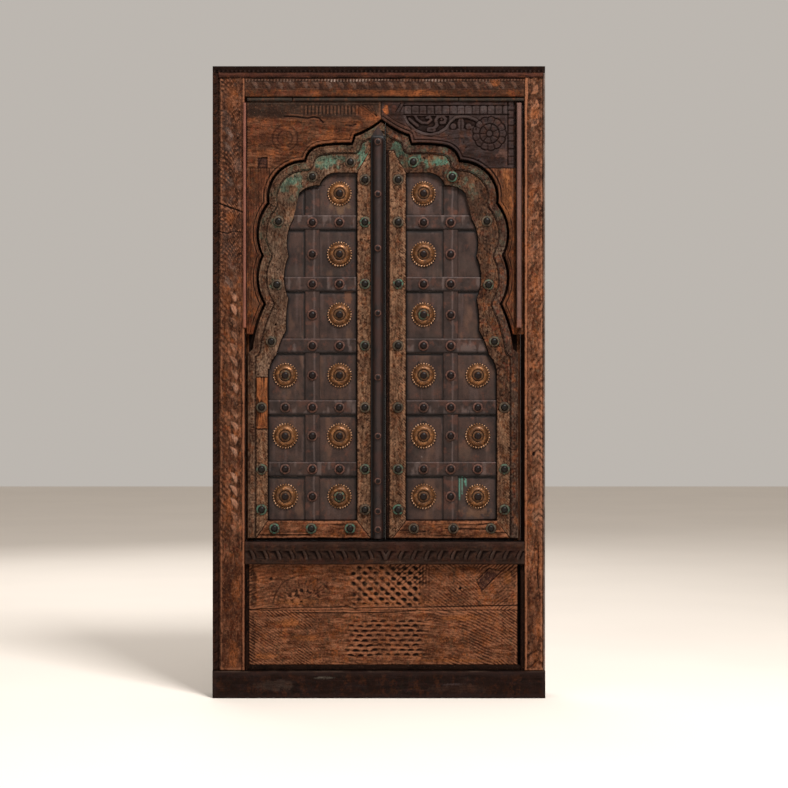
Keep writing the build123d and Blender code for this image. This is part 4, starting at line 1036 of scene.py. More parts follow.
def vine_pattern(x, z):
    """How high each point of the right spandrel stands: 1 on the vine and its leaves, 0 in the dark ground.

    The stem is a wave through chosen points. The ground is sunk above its first half and below its
    second, and scrolls, a palmette and buds are lines and ovals left standing in it. The second value is
    the distance to the stem.
    """
    stem = np.array([
        (76, 1752), (90, 1727), (110, 1708), (135, 1698), (155, 1695), (180, 1700), (200, 1713), (215, 1733),
        (230, 1746), (250, 1750), (270, 1748), (290, 1741), (306, 1728),
    ], float)
    level = np.interp(x, stem[:, 0], stem[:, 1])
    ground = smooth(3, 6, z - level) * within(x, 80, 84, 208, 214) * smooth(1753, 1750, z)
    ground += smooth(3, 6, level - z) * within(x, 206, 216, 288, 298) * smooth(1706, 1714, z)
    curls = (
        ([(108, 1753), (116, 1740), (130, 1731), (147, 1730), (157, 1739), (153, 1748), (144, 1746)], 3.6),
        ([(150, 1712), (166, 1714), (175, 1723), (171, 1738), (178, 1749), (191, 1751), (201, 1742),
          (197, 1731), (187, 1731)], 4.4),
        ([(92, 1742), (104, 1731), (116, 1722)], 4.0), ([(150, 1709), (166, 1708)], 5.5),
    )
    raised = np.zeros(x.shape)
    for line, half in curls:
        raised = np.maximum(raised, smooth(half + 1.2, half - 0.6, distance_to(np.array(line, float), x, z)))
    for cx, cz, wide, tall in ((247, 1727, 9.5, 19), (224, 1720, 9, 9), (270, 1719, 9, 9), (247, 1706, 16, 9),
                               (284, 1713, 7, 7), (189, 1741, 3.5, 3.5)):
        raised = np.maximum(raised, smooth(1.12, 0.92, np.hypot((x - cx) / wide, (z - cz) / tall)))
    raised *= 1 - 0.5 * about(x - 247, 0.6, 1.8) * smooth(1704, 1712, z)
    return np.clip(1 - np.clip(ground, 0, 1) * (1 - raised), 0, 1), distance_to(stem, x, z)


def flower_cuts(x, z):
    """The outlines of a flower: rings, and petals where the cosine of a multiple of the angle is near 0."""
    r, angle = np.hypot(x - 333, z - 1698), np.arctan2(z - 1698, x - 333)
    lobes = 48 + 3.5 * np.abs(np.cos(6.5 * angle))
    cuts = about(r - lobes, 0.8, 2.6)
    cuts = np.maximum(cuts, about(np.cos(6.5 * angle), 0.05, 0.26) * within(r, 31, 33, 48, 50))
    cuts = np.maximum(cuts, about(r - 30, 0.8, 2.6))
    cuts = np.maximum(cuts, about(np.cos(3.5 * angle), 0.06, 0.3) * within(r, 10, 12, 28, 30))
    cuts = np.maximum(cuts, about(r - 10, 0.6, 2.2))
    return cuts * smooth(54, 52, r), 1.2 * (np.cos(np.pi * (r - 40) / 20) < 0) * smooth(52, 50, r)


def carve_right_spandrel(skin, leaf):
    """Dentils over a vine with a palmette and a large flower, a pier of bricks, and a moulded arch edge."""
    x, z = skin.x, skin.z
    arch = distance_to(leaf.whole, x, z) - ARCH_GAP
    pitch = timber_settings().dentil_pitch / MM
    place = (x - 76) / pitch
    share = np.abs(2 * (place - np.floor(place)) - 1)
    roof = 1781.5 - 5 * share**4
    tooth = smooth(0.94, 0.84, share) * smooth(roof + 1, roof - 1, z) * smooth(1756, 1758.5, z)
    row = within(x, 70, 76, 390, 394) * within(z, 1785, 1783, 1755, 1753)
    skin.mark(row * (1 - tooth), 2.8, 0.8, "#120b0a")
    skin.paint(row * tooth * 0.35, "#514846")
    height, stem = vine_pattern(x, z)
    skin.mark(1 - height, 4.5, 0.75, "#100a09")
    skin.cut(1.8 * about(stem - 5.2, 0.4, 1.6) * within(x, 78, 84, 300, 306))
    skin.paint(smooth(5.2, 3.0, stem) * 0.35, "#5b504c")
    cuts, sink = flower_cuts(x, z)
    skin.cut(2.6 * cuts + 0.5 * sink)
    skin.paint(cuts * 0.8, "#120b0a")
    bricks = np.abs((z - 1629) / 23.2 - np.round((z - 1629) / 23.2)) * 23.2
    pier = smooth(388, 390, x) * within(z, 1600, 1606, 1782, 1786)
    skin.cut(2.2 * pier * smooth(2.2, 0.7, bricks) + 2.6 * about(x - 388.5, 0.8, 2.2) * smooth(1600, 1606, z))
    skin.paint(pier * smooth(2.4, 1, bricks) * 0.7 + about(x - 388.5, 1, 2.4) * 0.6, "#150d0b")
    skin.paint(smooth(30, 12, arch) * smooth(210, 150, x) * 0.6, "#5c3a2b")
    skin.cut(2.2 * about(arch - 8, 1, 2.6) + 1.6 * about(arch - 18, 0.8, 2.2) * smooth(200, 190, x))
    skin.paint(about(arch - 8, 1, 2.6) * 0.8, "#160d0a")
    skin.patches(
        (376, 1636, 20, 14, "#5a4036", 0.6, 50), (21, 1770, 9, 14, "#94532f", 0.95, 51, 1.2),
        (45, 1772, 9, 12, "#55342a", 0.6, 52, 1),
    )
    for shift in (0, 12):
        skin.groove([(50 + shift, 1763), (66 + shift, 1790)], 4, 2.4, "#0d0706")
    skin.groove([(8, 1753.5), (395, 1753.5)], 2.4, 1.4, "#150d0b")
    for cx, cz in ((210, 1692), (262, 1655), (300, 1618), (330, 1612), (255, 1672)):
        skin.patch(cx, cz, 3, 3, "#120b0a", 0.8, 54, 1.2)
    skin.wear(0.9, 60, 56, 0.5, "x")


def carve_left_spandrel(skin, leaf):
    """A board worn nearly flat: a blackened band with the last of its dentils, and the ghost of a flower."""
    x, z = skin.x, skin.z
    arch = distance_to(leaf.whole, x, z) - ARCH_GAP
    ribs = np.abs(np.cos(np.pi * x / 11))
    row = within(x, -240, -220, -62, -52) * within(z, 1753, 1757, 1781, 1784)
    skin.paint(smooth(1742, 1756, z + 8 * noise(x, z, 40, 58, 2)) * 0.88, "#221f1b")
    skin.cut(1.6 * row * smooth(0.6, 0.25, ribs))
    skin.paint(row * smooth(0.5, 0.2, ribs) * 0.6, "#15120e")
    skin.paint(smooth(1784, 1787, z) * 0.45, "#4a3f37")
    skin.groove([(-390, 1784.5), (0, 1784.5)], 3, 1.4, "#15110d")
    crack = [(-285, 1750), (-250, 1749), (-215, 1744), (-195, 1748), (-180, 1744), (-168, 1732)]
    skin.groove(crack, 7, 3, "#100c09")
    skin.groove([(-100, 1724), (-84, 1722), (-70, 1726)], 8, 2, "#1b1511")
    for radius in (38, 22):
        ring = about(np.hypot(x + 283, z - 1684) - radius, 1, 3.5)
        skin.mark(ring, 1.1, 0.35, "#2c1811")
    skin.patches(
        (-36, 1756, 30, 20, "#83492a", 0.8, 52, 1.5, 0.5, -0.8),
        (-100, 1690, 70, 16, "#7c4628", 0.6, 60, 0.4, 0.5, 2.0), (-340, 1640, 40, 8, "#7c4628", 0.6, 61, 0.4),
    )
    for step in range(5):
        start = -64 + 12 * step
        skin.groove([(start, 1785), (min(start + 50, -6), 1750)], 3, 1.4, "#22150e", 0.7)
    skin.cut((1 - strokes(x, z, 9, 0.08, 62, 14)) * smooth(1750, 1740, z))
    notch = smooth(0, 2, np.minimum(np.minimum(x + 366, -335 - x), 1627 - z))
    skin.mark(notch, 2.4, 0.85, "#33211f")
    skin.groove([(-366, 1596), (-352, 1627), (-336, 1627), (-336, 1596)], 3, 2, "#0d0705")
    skin.cut(1.8 * about(arch - 8, 1, 2.4) * smooth(-60, -90, x))
    skin.patch(-330, 1700, 60, 46, "#5d3423", 0.4, 63)
    skin.wear(1.4, 50, 54, 0.9, "x")


def carve_side_board(skin, leaf):
    """Straight fibres, a dark line along the arch, soot and painted shade at the arch's edge and orange
    rubbed ends.
    """
    x, z = skin.x, skin.z
    arch = distance_to(leaf.arch, x, z) - ARCH_GAP
    line = about(arch - 9, 1.2, 2.6)
    skin.cut(2.0 * line)
    # The dark line, and soot and painted shade at the board's edge by the arch gap.
    skin.paint(line * 0.7 + smooth(6, 1, arch) * 0.5, "#150c08")
    skin.cut(1.2 * furrows(x + 5 * noise(x, z * 0.3, 40, 57, 2), 8))
    skin.paint(smooth(1130, 1100, z) * 0.7, "#8a4423")
    if leaf is LEFT:
        skin.patch(-350, 1560, 16, 40, "#6d3d28", 0.6, 58)
        skin.paint(within(z, 1200, 1400, 1500, 1560) * 0.35, "#3a221b")
    else:
        skin.patch(385, 1480, 16, 110, "#84512f", 0.7, 58)
    skin.wear(1.2, 50, 57 + leaf.side, 0.9)


def carve_transom(skin):
    """Hooks in two mirrored rows: chip cuts that are deepest at their steep side, with an arc beside each.

    Measured away from the middle, a cut's steep side leans as it falls, its other side runs to the same
    foot on a slant, and the depth grows evenly from the slant to the steep side.
    """
    pitch = timber_settings().hook_pitch / MM
    middle = 21
    x, z = wander(skin, 1.4, 60, 61)
    along = np.abs(x - middle)
    fall = np.clip((441 - z) / 24, 0, 1)
    place = along - 6 - 8 * (1 - fall) ** 1.2
    inside = place - np.floor(place / pitch) * pitch
    slant = 19 * (1 - fall) + 2.5
    window = within(z, 443.5, 441, 418, 415)
    chip = np.clip(1 - inside / slant, 0, 1) * smooth(0, 1.2, inside) * window
    steep = within(inside, 6.5, 3.0, 1.0, -1) * window
    lintel = smooth(434.5, 438.5, z) * smooth(slant + 1, slant - 3, inside) * window
    bend = inside - (pitch - 9.5) + 2.5 * np.sin(np.pi * fall)
    arc_line = about(bend, 0.9, 2.8) * within(z, 446, 441, 424, 417)
    skin.cut(4.4 * chip + 2.4 * arc_line)
    skin.paint(0.92 * np.maximum(steep, lintel) + 0.3 * chip, "#070303")
    skin.paint(0.8 * arc_line, "#0c0605")
    skin.paint(window * about(bend - 4.5, 1.5, 4) * 0.3, "#5c4b44")
    skin.groove([(-403, 449), (438, 449)], 3, 0.8)
    skin.paint(smooth(452, 466, z) * 0.35, "#43302a")
    skin.paint(0.4 * smooth(0.6, 0.75, noise(x, z, 34, 66, 3)), "#3c1f18")
    skin.patch(45, 408, 26, 6, "#5b4334", 0.5, 64)
    skin.wear(1.1, 80, 63, 0.5, "x")


def moulding_and_border(leaf):
    """Rules from the arch to the inner line of the border, and the points on them a moulding's width in."""
    outer, inner = matched(leaf.arch, leaf.inner, leaf.arch_corners, leaf.inner_corners, WORN_STEP)
    seam = at_distance(outer, inner, leaf.arch, MOULDING_WIDTH)
    start = int(np.argmin(np.hypot(*(outer - np.array(leaf.arch_corners[0])).T)))
    return outer, seam, inner, start


def cells(x, z, pitch, rise, shift):
    """How far each point is from the middle of its cell, in rows that step on by half a pitch like bricks."""
    row = z / rise
    place = x / pitch + 0.5 * np.round(row) + shift
    return (place - np.round(place)) * pitch, (row - np.round(row)) * rise


def carve_upper_apron(skin):
    """A diaper of notches, a half round fan on the left, and sweeping gouge lines on the right, all worn."""
    x, z = wander(skin, 3.0, 50, 71)
    pitch = timber_settings().lattice_pitch / MM
    rise = 0.46 * pitch
    u, v = cells(x, z - 373, pitch, rise, 0.25)
    notch = smooth(1.15, 0.5, np.hypot((u + 0.35 * v) / 8.5, v / 6.8))
    shadow = smooth(1.1, 0.6, np.hypot((u - 2 + 0.9 * (v - 1)) / 7.5, (v - 2.5) / 4.5))
    rough = 0.5 + 0.5 * smooth(0.3, 0.7, noise(x, z, 50, 72, 2))
    region = within(x, -95, -72, 110, 140) * within(z, 272, 284, 394, 400)
    dense = smooth(20, 70, x) * smooth(320, 350, z) * smooth(150, 130, x)
    falling = furrows(z + 0.92 * x + 4 * noise(x, z, 30, 74, 2), rise * 1.36)
    crossed = furrows(z - 0.8 * x + 6 * noise(x, z, 26, 75, 2), 13)
    skin.mark(region * notch * rough, 3.8, 0.85, "#283024")
    skin.paint(region * shadow * rough, "#0e0a07")
    skin.mark(region * falling * rough, 2.2, 0.5, "#2a1510")
    skin.cut(2.4 * dense * crossed)
    skin.paint(dense * (0.6 * crossed + 0.35), "#1d1712")
    r, angle = np.hypot(x + 228, z - 276), np.arctan2(z - 276, x + 228)
    half = smooth(278, 290, z)
    worn = smooth(0.35, 0.65, noise(x, z, 30, 73, 2))
    rim = about(r - 90, 1.0, 3.5) * half * worn
    rays = furrows(angle * 60 + 4 * worn, 9) * within(r, 34, 42, 76, 84) * half
    middle = smooth(0.5, 0.38, noise(x, z, 9, 76, 2)) * smooth(66, 50, r) * half
    skin.cut(1.2 * rim + 1.6 * rays * (0.4 + 0.6 * worn) + 2.0 * middle)
    skin.paint(np.clip(0.4 * rim + 0.55 * rays * (0.3 + 0.7 * worn) + 0.6 * middle, 0, 0.75), "#1f160f")
    bent = z + 0.62 * x + 0.0009 * (x - 150) ** 2 + 7 * noise(x, z, 40, 77, 2)
    plug = inside_of([(295, 352), (333, 389), (370, 380), (310, 320)], skin.x, skin.z)
    clear = smooth(2, -1, plug)
    right = smooth(125, 160, x) * smooth(325, 300, x + 0.5 * (z - 330)) * clear
    far = smooth(300, 330, x + 0.5 * (z - 330)) * smooth(425, 405, x) * clear
    left = smooth(-260, -330, x) + within(x, -140, -115, -95, -70)
    lines, rising = furrows(bent, 10), furrows(z - 0.85 * x + 8 * noise(x, z, 34, 78, 2), 11)
    skin.cut(rough * (2.8 * right * lines + 2.8 * far * rising + 1.4 * left * lines))
    skin.paint(rough * (0.6 * right * lines + 0.6 * far * rising + 0.25 * left * lines), "#1e110b")
    upright = furrows(x + 4 * noise(x, z, 30, 79, 2), 9)
    stretch = within(x, 112, 122, 148, 158) * smooth(320, 340, z)
    skin.mark(upright * stretch, 1.8, 0.5, "#1d120c")
    skin.paint(smooth(-1, 1, plug) * 0.96, "#2e1c19")
    skin.cut(1.4 * about(plug, 0.6, 2.2))
    skin.paint(about(plug, 0.8, 2.6) * 0.8, "#110806")
    skin.patches(
        (388, 362, 14, 24, "#8d5328", 0.8, 81), (-250, 287, 70, 9, "#86502c", 0.6, 82),
        (60, 284, 200, 8, "#7f4a28", 0.5, 83), (-330, 375, 50, 16, "#78442a", 0.6, 84),
        (245, 328, 4, 4, "#120a07", 1, 85, 3, 0.1), (-325, 357, 5, 5, "#150c08", 1, 86, 2, 0.3),
        (-384, 330, 16, 70, "#150b07", 0.8, 87),
    )
    # Painted shadow along the top of the board, under the transom.
    skin.paint(smooth(387, 398, z) * 0.5, "#1c100b")
    speckle(skin, 89, "#94694a", 0.4, 5)
    crack = [(-392, 264), (-330, 267), (-240, 270), (-130, 271), (-95, 275), (-75, 268), (0, 270), (110, 271),
             (250, 274), (418, 277)]
    skin.groove(crack, 4, 3, "#0c0604")
    skin.wear(1.2, 60, 78, 0.9, "x")


def carve_lower_apron(skin):
    """Scales in the middle, and long gouge lines that sweep down to the right on both sides."""
    x, z = wander(skin, 3.5, 50, 91)
    pitch = timber_settings().lattice_pitch / MM * 0.82
    u, v = cells(x, z - 188, pitch, 14.5, 0)
    scale = smooth(1.2, 0.5, np.hypot(u / 11, (v + 0.02 * u**2 + 2) / 4.2))
    crest = smooth(1.0, 0.4, np.hypot(u / 10, (v - 4) / 3.5))
    rough = 0.35 + 0.65 * smooth(0.3, 0.65, noise(x, z, 44, 92, 2))
    region = within(x, -125, -75, 110, 150) * within(z, 112, 128, 224, 240)
    # Painted shade in the notches under the scales, and a painted highlight on their crests.
    skin.mark(region * scale * (0.4 + 0.6 * rough), 3.2, 0.8, "#190c07")
    skin.paint(region * crest * rough * 0.4, "#8c5a3a")
    skin.paint(region * within(z, 150, 190, 200, 235) * 0.4, "#3c1c12")
    fall = furrows(z + 0.62 * x + 0.0005 * (x + 390) ** 2 + 8 * noise(x, z, 60, 93, 2), 9)
    drift = furrows(z + 0.12 * x + 0.0012 * (x - 150) ** 2 + 11 * noise(x, z, 50, 94, 2), 9.5)
    level = 1 - strokes(x, z, 9, 0.12, 95, 12)
    left, right = smooth(-130, -240, x), smooth(80, 220, x)
    centre = (1 - left) * (1 - right) * level
    skin.cut(rough * (3.2 * left * fall + 3.0 * right * drift + 1.3 * centre))
    skin.paint(rough * (0.65 * left * fall + 0.6 * right * drift + 0.25 * centre), "#1c0d07")
    for place in ((-270, 226, 34, 12), (-220, 178, 40, 10), (250, 240, 60, 10), (-340, 125, 30, 10),
                  (240, 110, 120, 5)):
        skin.patch(*place, "#8a5029", 0.6, seed=96)
    skin.patches(
        (-384, 180, 14, 80, "#150b07", 0.8, 98), (412, 180, 8, 90, "#1c110c", 0.5, 99),
    )
    speckle(skin, 88, "#94694a", 0.35, 5)
    skin.groove([(-268, 254), (-170, 254), (-75, 254), (60, 257), (112, 261)], 4, 3, "#0f0805")
    skin.wear(1.2, 60, 90, 0.9, "x")


def carve_moulding(skin, leaf):
    """A flat edge, a fine line, and a round with small ovals; the ovals are a cosine along the arch."""
    pitch = timber_settings().bead_pitch / MM
    d = distance_to(leaf.arch, skin.x, skin.z)
    strength = 0.3 + 0.7 * smooth(0.35, 0.6, noise(skin.x, skin.z, 90, 88, 2))
    skin.mark(strength * about(d - 6.5, 0.6, 1.8), 1.2, 0.4, "#16100c")
    skin.cut(1.8 * about(d - 22.5, 1.0, 2.6))
    skin.paint(about(d - 22.5, 1.0, 2.8) * 0.85, "#0f0906")
    row = about(d - 14.5, 4.5, 7.0)
    wave = np.abs(np.cos(np.pi * skin.u / pitch))
    skin.cut(1.7 * row * (1 - wave**0.6) * strength)
    speckle(skin, 87, "#84705c", 0.7)
    old_paint(skin, 0.3 * smooth(0.5, 0.7, noise(skin.x, skin.z, 22, 90, 4)) * smooth(1250, 1450, skin.z))
    # Dirt and painted shade along the moulding's edges.
    skin.paint(smooth(3.5, 1, skin.edge) * 0.7, "#120a07")
    skin.wear(0.7, 50, 91)


def old_paint(skin, amount):
    """What is left of the blue-green paint, worn to ragged flakes."""
    ragged = smooth(0.3, 0.5, noise(skin.x, skin.z, 5, 109, 2))
    skin.paint(np.clip(amount, 0, 1) * (0.35 + 0.65 * ragged), timber_settings().paint)


def carve_border(skin, leaf):
    """Small punched pits all over, old blue-green paint in patches, and bare rubbed wood between."""
    x, z = skin.x, skin.z
    speckle(skin, 93 + leaf.side, "#8b7560" if leaf.side < 0 else "#745c48", 1.0)
    skin.cut(1.2 * pocks(x * 0.8 + z * 0.6, z * 0.4 - x * 0.3, 9, 94 + leaf.side, 0.6, 0.28))
    cloud = noise(x, z, 20, 99 + leaf.side, 4)
    if leaf.side < 0:
        patches = ((-165, 1620, 60, 20), (-275, 1552, 34, 22), (-316, 1241, 15, 16), (-309, 1432, 15, 20),
                   (-285, 1595, 20, 8), (-50, 1640, 10, 40), (-383, 1040, 8, 10))
        skin.patch(-312, 1123, 3.2, 3.2, "#0e0806", 1.0, 103, 4, 0)
        skin.groove([(-35, 1640), (-50, 1615), (-68, 1590)], 3.5, 0.6, "#5c8a72")
        old_paint(skin, 0.6 * smooth(0.56, 0.66, cloud) * smooth(1300, 1500, z))
        skin.paint(0.5 * smooth(1560, 1500, z + 20 * cloud) * smooth(0.35, 0.55, cloud), "#6f5747")
    else:
        skin.paint(0.4 * smooth(1250, 1400, z), "#362c24")
        patches = ((58, 1660, 18, 30), (104, 1616, 34, 20), (70, 1535, 10, 12), (210, 1420, 8, 12),
                   (180, 1618, 40, 12))
        old_paint(skin, 0.5 * smooth(0.6, 0.7, cloud) * smooth(1450, 1600, z))
    for index, spot in enumerate(patches):
        skin.patch(*spot, timber_settings().paint, 0.72, seed=101 + index, ragged=0.9)
    skin.paint(0.5 * smooth(0.6, 0.75, noise(x, z, 26, 107, 3)), "#6e4a31")
    # Dirt and painted shade along the ragged edges of the border.
    skin.paint(smooth(4.5, 1, skin.edge + 2 * cloud) * 0.8, "#120a07")
    skin.wear(1.0, 60, 97 + leaf.side, 0.9)


def stile_skin(leaf):
    """From the moulding to the panel line, mitred at the rail, up to the top of the outer stile."""
    top = Box(f"{leaf.name}_outer_stile").z1
    corners = [(leaf.inside, leaf.rail_top)], [(leaf.stile, leaf.rail_top + 4)]
    outer = straight((leaf.inside, leaf.low), *corners[0], (leaf.inside, top), size=WORN_STEP)
    inner = straight((leaf.stile, leaf.rail_top), *corners[1], (leaf.stile, top), size=WORN_STEP)
    return Skin(*between(*matched(outer, inner, *corners, WORN_STEP), WORN_STEP), leaf.border_front, 1.5)


def rail_skin(leaf):
    """From the foot of the leaf up to the sheets, mitred at both ends."""
    low = straight((leaf.inside, leaf.low), (leaf.column(RAIL_MITRE_FOOT), leaf.low))
    high = straight((leaf.stile, leaf.rail_top), (leaf.near, leaf.rail_top))
    return Skin(*between(*matched(low, high, [], [], WORN_STEP), WORN_STEP), leaf.border_front, 1.5)


def meeting_skin(leaf):
    """From the meeting edge to the sheets, mitred at the rail and drawn to a point at the top."""
    edge = leaf.meeting_edge
    corners = [(leaf.near, leaf.rail_top), (leaf.near, leaf.panel_top)]
    point = (leaf.column(MEETING_POINT_OFFSET), leaf.peak)
    far = straight((leaf.column(RAIL_MITRE_FOOT), leaf.low), *corners, point)
    near = straight((edge, leaf.low), (edge, leaf.peak))
    pair = matched(near, far, [(edge, z) for _, z in corners], corners, WORN_STEP)
    return Skin(*between(*pair, WORN_STEP), leaf.border_front, 1.5)


def weather_leaf_timber(skin, seed, pitted=1.0, grain="z"):
    """Punched work worn to specks, drying checks along the grain, and black ragged edges at the iron of dirt
    and painted shade.
    """
    x, z = skin.x, skin.z
    if pitted > 0.5:
        middle = (x.min() + x.max()) / 2
        herring = furrows(z + 0.9 * np.abs(x - middle) + 3 * noise(x, z, 24, seed + 2, 2), 8)
        skin.mark(pitted * herring, 1.1, 0.4, "#21150e")
        speckle(skin, seed + 3, "#96765b", pitted, 4.2)
    else:
        speckle(skin, seed + 3, "#8f5e3f", 0.5, 5)
        across, along = (x, z) if grain == "z" else (z, x)
        checks = smooth(0.64, 0.72, noise(across * 3, along * 0.16, 20, seed + 8, 2))
        skin.mark(checks, 1.6, 0.7, "#150d09")
        skin.paint(0.6 * smooth(0.58, 0.7, noise(x, z, 34, seed + 9, 4)), "#85502f")
    skin.paint(0.5 * smooth(0.6, 0.75, noise(x, z, 30, seed + 7, 4)), "#35221a")
    # Dirt and painted shade along the ragged edges.
    skin.paint(smooth(7.5, 2.5, skin.edge + 4 * noise(x, z, 14, seed + 6, 2)) * 0.9, "#0f0806")
    skin.wear(1.1, 50, seed, 0.8, grain)


def sheet_skins(leaf):
    """The two iron sheets: ruled from the near edge to the seam, and from the seam to the outer line."""
    strap = Box(f"{leaf.name}_upright_strap")
    seam = (strap.x0 + strap.x1) / 2
    start = int(np.argmax(leaf.panel[:, 1] >= leaf.rail_top))
    panel = leaf.panel[start:]
    cut = int(np.argmax((panel[:, 0] - seam) * leaf.side < 0))
    share = (seam - panel[cut - 1, 0]) / (panel[cut, 0] - panel[cut - 1, 0])
    crossing = panel[cut - 1 : cut] * (1 - share) + panel[cut : cut + 1] * share
    top = float(crossing[0, 1])
    beyond = np.concatenate([straight((seam, leaf.rail_top), (seam, top))[:-1], crossing, panel[cut:]])
    edge = straight((leaf.near, leaf.rail_top), (leaf.near, top), (leaf.near, leaf.panel_top))
    near = between(*matched(edge, beyond, [(leaf.near, top)], [(seam, top)], SHEET_STEP), SHEET_STEP)
    outer = np.concatenate([panel[:cut], crossing])
    corner = leaf.at(*PANEL_LINE[5][:2])
    turn = (seam, corner[1] - 40)
    inner = np.concatenate([straight((seam, leaf.rail_top), turn)[:-1], straight(turn, (seam, top - 1))])
    return near, between(*matched(inner, outer, [turn], [corner], SHEET_STEP), SHEET_STEP)


def paint_sheet_soil_and_shade(skin, leaf, heights):
    """Painted shadow lines under and over the straps and beside the upright, soot and painted shade at the
    rim, rust and spills.
    """
    x, z = skin.x, skin.z
    strap = Box(f"{leaf.name}_upright_strap")
    ragged = 2.5 * noise(x, z, 12, 125, 2)
    # Painted shadow lines under and over the straps and beside the upright strap.
    line = np.zeros(x.shape)
    for height in heights:
        under, over = height - STRAP_HEIGHT / 2 - z, z - height - STRAP_HEIGHT / 2
        line = np.maximum(line, smooth(-1, 0.5, under) * smooth(11, 7, under + ragged - 1))
        line = np.maximum(line, 0.55 * within(over, -1, 0.5, 1.5, 3))
    beside, beyond = strap.x0 - x, x - strap.x1
    line = np.maximum(line, 0.9 * smooth(-1, 0.5, beside) * smooth(7, 4, beside + ragged - 1))
    line = np.maximum(line, 0.5 * within(beyond, -1, 0.5, 1.2, 2.5))
    rim = np.minimum(distance_to(leaf.panel, x, z), np.abs(x - leaf.near))
    skin.paint(0.45 * smooth(0.6, 0.78, noise(x, z * 0.4, 30, 127 + leaf.side, 4)), "#543a2b")
    skin.paint(0.16 * smooth(0.62, 0.72, noise(x * 2.2, z * 0.16, 24, 129 + leaf.side, 2)), "#5a4945")
    skin.paint(0.4 * smooth(0.55, 0.7, noise(x, z, 40, 137 + leaf.side, 3)), "#2c221c")
    # Soot and painted shade along the rim of the sheet.
    skin.paint(smooth(30, 4, rim) * 0.35, "#1c110e")
    skin.paint(smooth(11, 4, rim + ragged) * 0.92, "#0a0504")
    # The painted shadow lines, also cut 1 mm into the sheet.
    skin.mark(line, 1, 1, "#090403")
    if leaf.side < 0:
        skin.patches(
            (-92, 1214, 13, 22, "#633d26", 0.5, 131, 0, 0.9),
            (-120, 1480, 28, 22, "#5c432c", 0.55, 132, 0, 0.8),
            (-205, 1525, 5, 11, "#17100d", 0.95, 133, 1.2, 0.3),
        )
    else:
        for spill in ((245, 628, 2.5, 36), (262, 650, 3, 12), (236, 650, 2, 20), (252, 640, 1.8, 30),
                      (226, 760, 6, 7), (222, 742, 3, 16)):
            skin.patch(*spill, "#4b7a6a", 0.8, seed=134, ragged=0.6)
        skin.patches(
            (232, 738, 2.5, 18, "#8d7f77", 0.7, 138, 0, 0.5), (130, 722, 1.8, 1.8, "#a59a92", 0.9, 135, 0, 0),
            (296, 558, 44, 15, "#5f412c", 0.45, 136, 0, 0.9), (120, 1000, 4, 16, "#0a0504", 0.9, 139),
            (135, 825, 12, 9, "#0a0504", 0.8, 140),
        )


def strap_skin(leaf, z, box):
    """A strap: at each height it runs from the meeting stile to the outer line of the panel."""
    rows = steps(z - STRAP_HEIGHT / 2, z + STRAP_HEIGHT / 2, STRAP_STEP)
    ends = leaf.outer_x(rows)
    columns = steps(0, 1, STRAP_STEP / abs(leaf.stile - leaf.near))
    x = leaf.near + (ends[None] - leaf.near) * columns[:, None]
    return Skin(x, np.repeat(rows[None], len(columns), 0), box.front, 1.4)


def paint_strap_wear_and_light(skin, middle, seed):
    """Paints a strap: a painted highlight along its upper edge, painted shade along its lower edge and at its
    ends, and wear across it in bands.
    """
    x, z = skin.x, skin.z
    rise = z - middle
    skin.paint(0.4 * smooth(0.58, 0.72, noise(x, z * 0.3, 15, seed, 3)), "#5f504b")
    skin.paint(0.6 * smooth(0.6, 0.75, noise(x, z, 24, seed + 1, 4)), "#40251b")
    # Painted highlight along the upper edge; painted shade along the lower edge and at both ends.
    skin.paint(smooth(15, 20.5, rise) * 0.14, "#64524d")
    skin.paint(smooth(-12, -19, rise) * 0.8, "#120a08")
    skin.paint(smooth(6, 1, np.minimum(skin.u, skin.u[-1] - skin.u)) * 0.8, "#0c0605")
    skin.cut(0.8 * smooth(0.62, 0.72, noise(x, z, 9, seed + 2, 2)))


def dent_iron(skin, amount, seed):
    """Hammered hollows and slow waves, all behind the CAD face."""
    skin.cut(amount * noise(skin.x, skin.z, 30, seed, 3) * smooth(0, 8, skin.edge))


def clump_places(node):
    """The middle of each separate solid in a node: points that share a triangle belong to one clump."""
    points, faces = merged(node)
    label = np.arange(len(points))
    for _ in range(12):
        low = label[faces].min(1)
        for corner in range(3):
            np.minimum.at(label, faces[:, corner], low)
        label = label[label]
    result = []
    for clump in np.unique(label):
        low, high = points[label == clump].min(0), points[label == clump].max(0)
        result.append(((low[0] + high[0]) / 2, (low[2] + high[2]) / 2, -high[1]))
    return result


def set_air(scene, colour):
    """A world of one plain colour."""
    scene.world = bpy.data.worlds.new("pale air")
    scene.world.use_nodes = True
    background = scene.world.node_tree.nodes["Background"]
    background.inputs["Color"].default_value = shade(colour)
    background.inputs["Strength"].default_value = 0.62


def lay_floor(colour):
    """A plain matt floor, 24 m square, with a faint change of tone about a metre wide."""
    pattern = ((900, 900, 900), 2, 0.55, 0, UNMOVED)
    material, tree, (tone,), _ = start_material("pale floor", (pattern,), (), 0.9, specular=0.2)
    floor_colour = layered(tree, shade(colour, 0.97), (shade(colour), (tone, 0.3, 0.7)))
    tree.links.new(floor_colour, tree.nodes["Principled BSDF"].inputs["Base Color"])
    reach = 12.0
    corners = [(-reach, -reach, 0), (reach, -reach, 0), (reach, reach, 0), (-reach, reach, 0)]
    mesh = bpy.data.meshes.new("floor")
    mesh.from_pydata(corners, [], [(0, 1, 2, 3)])
    mesh.materials.append(material)
    floor = bpy.data.objects.new("floor", mesh)
    bpy.context.scene.collection.objects.link(floor)


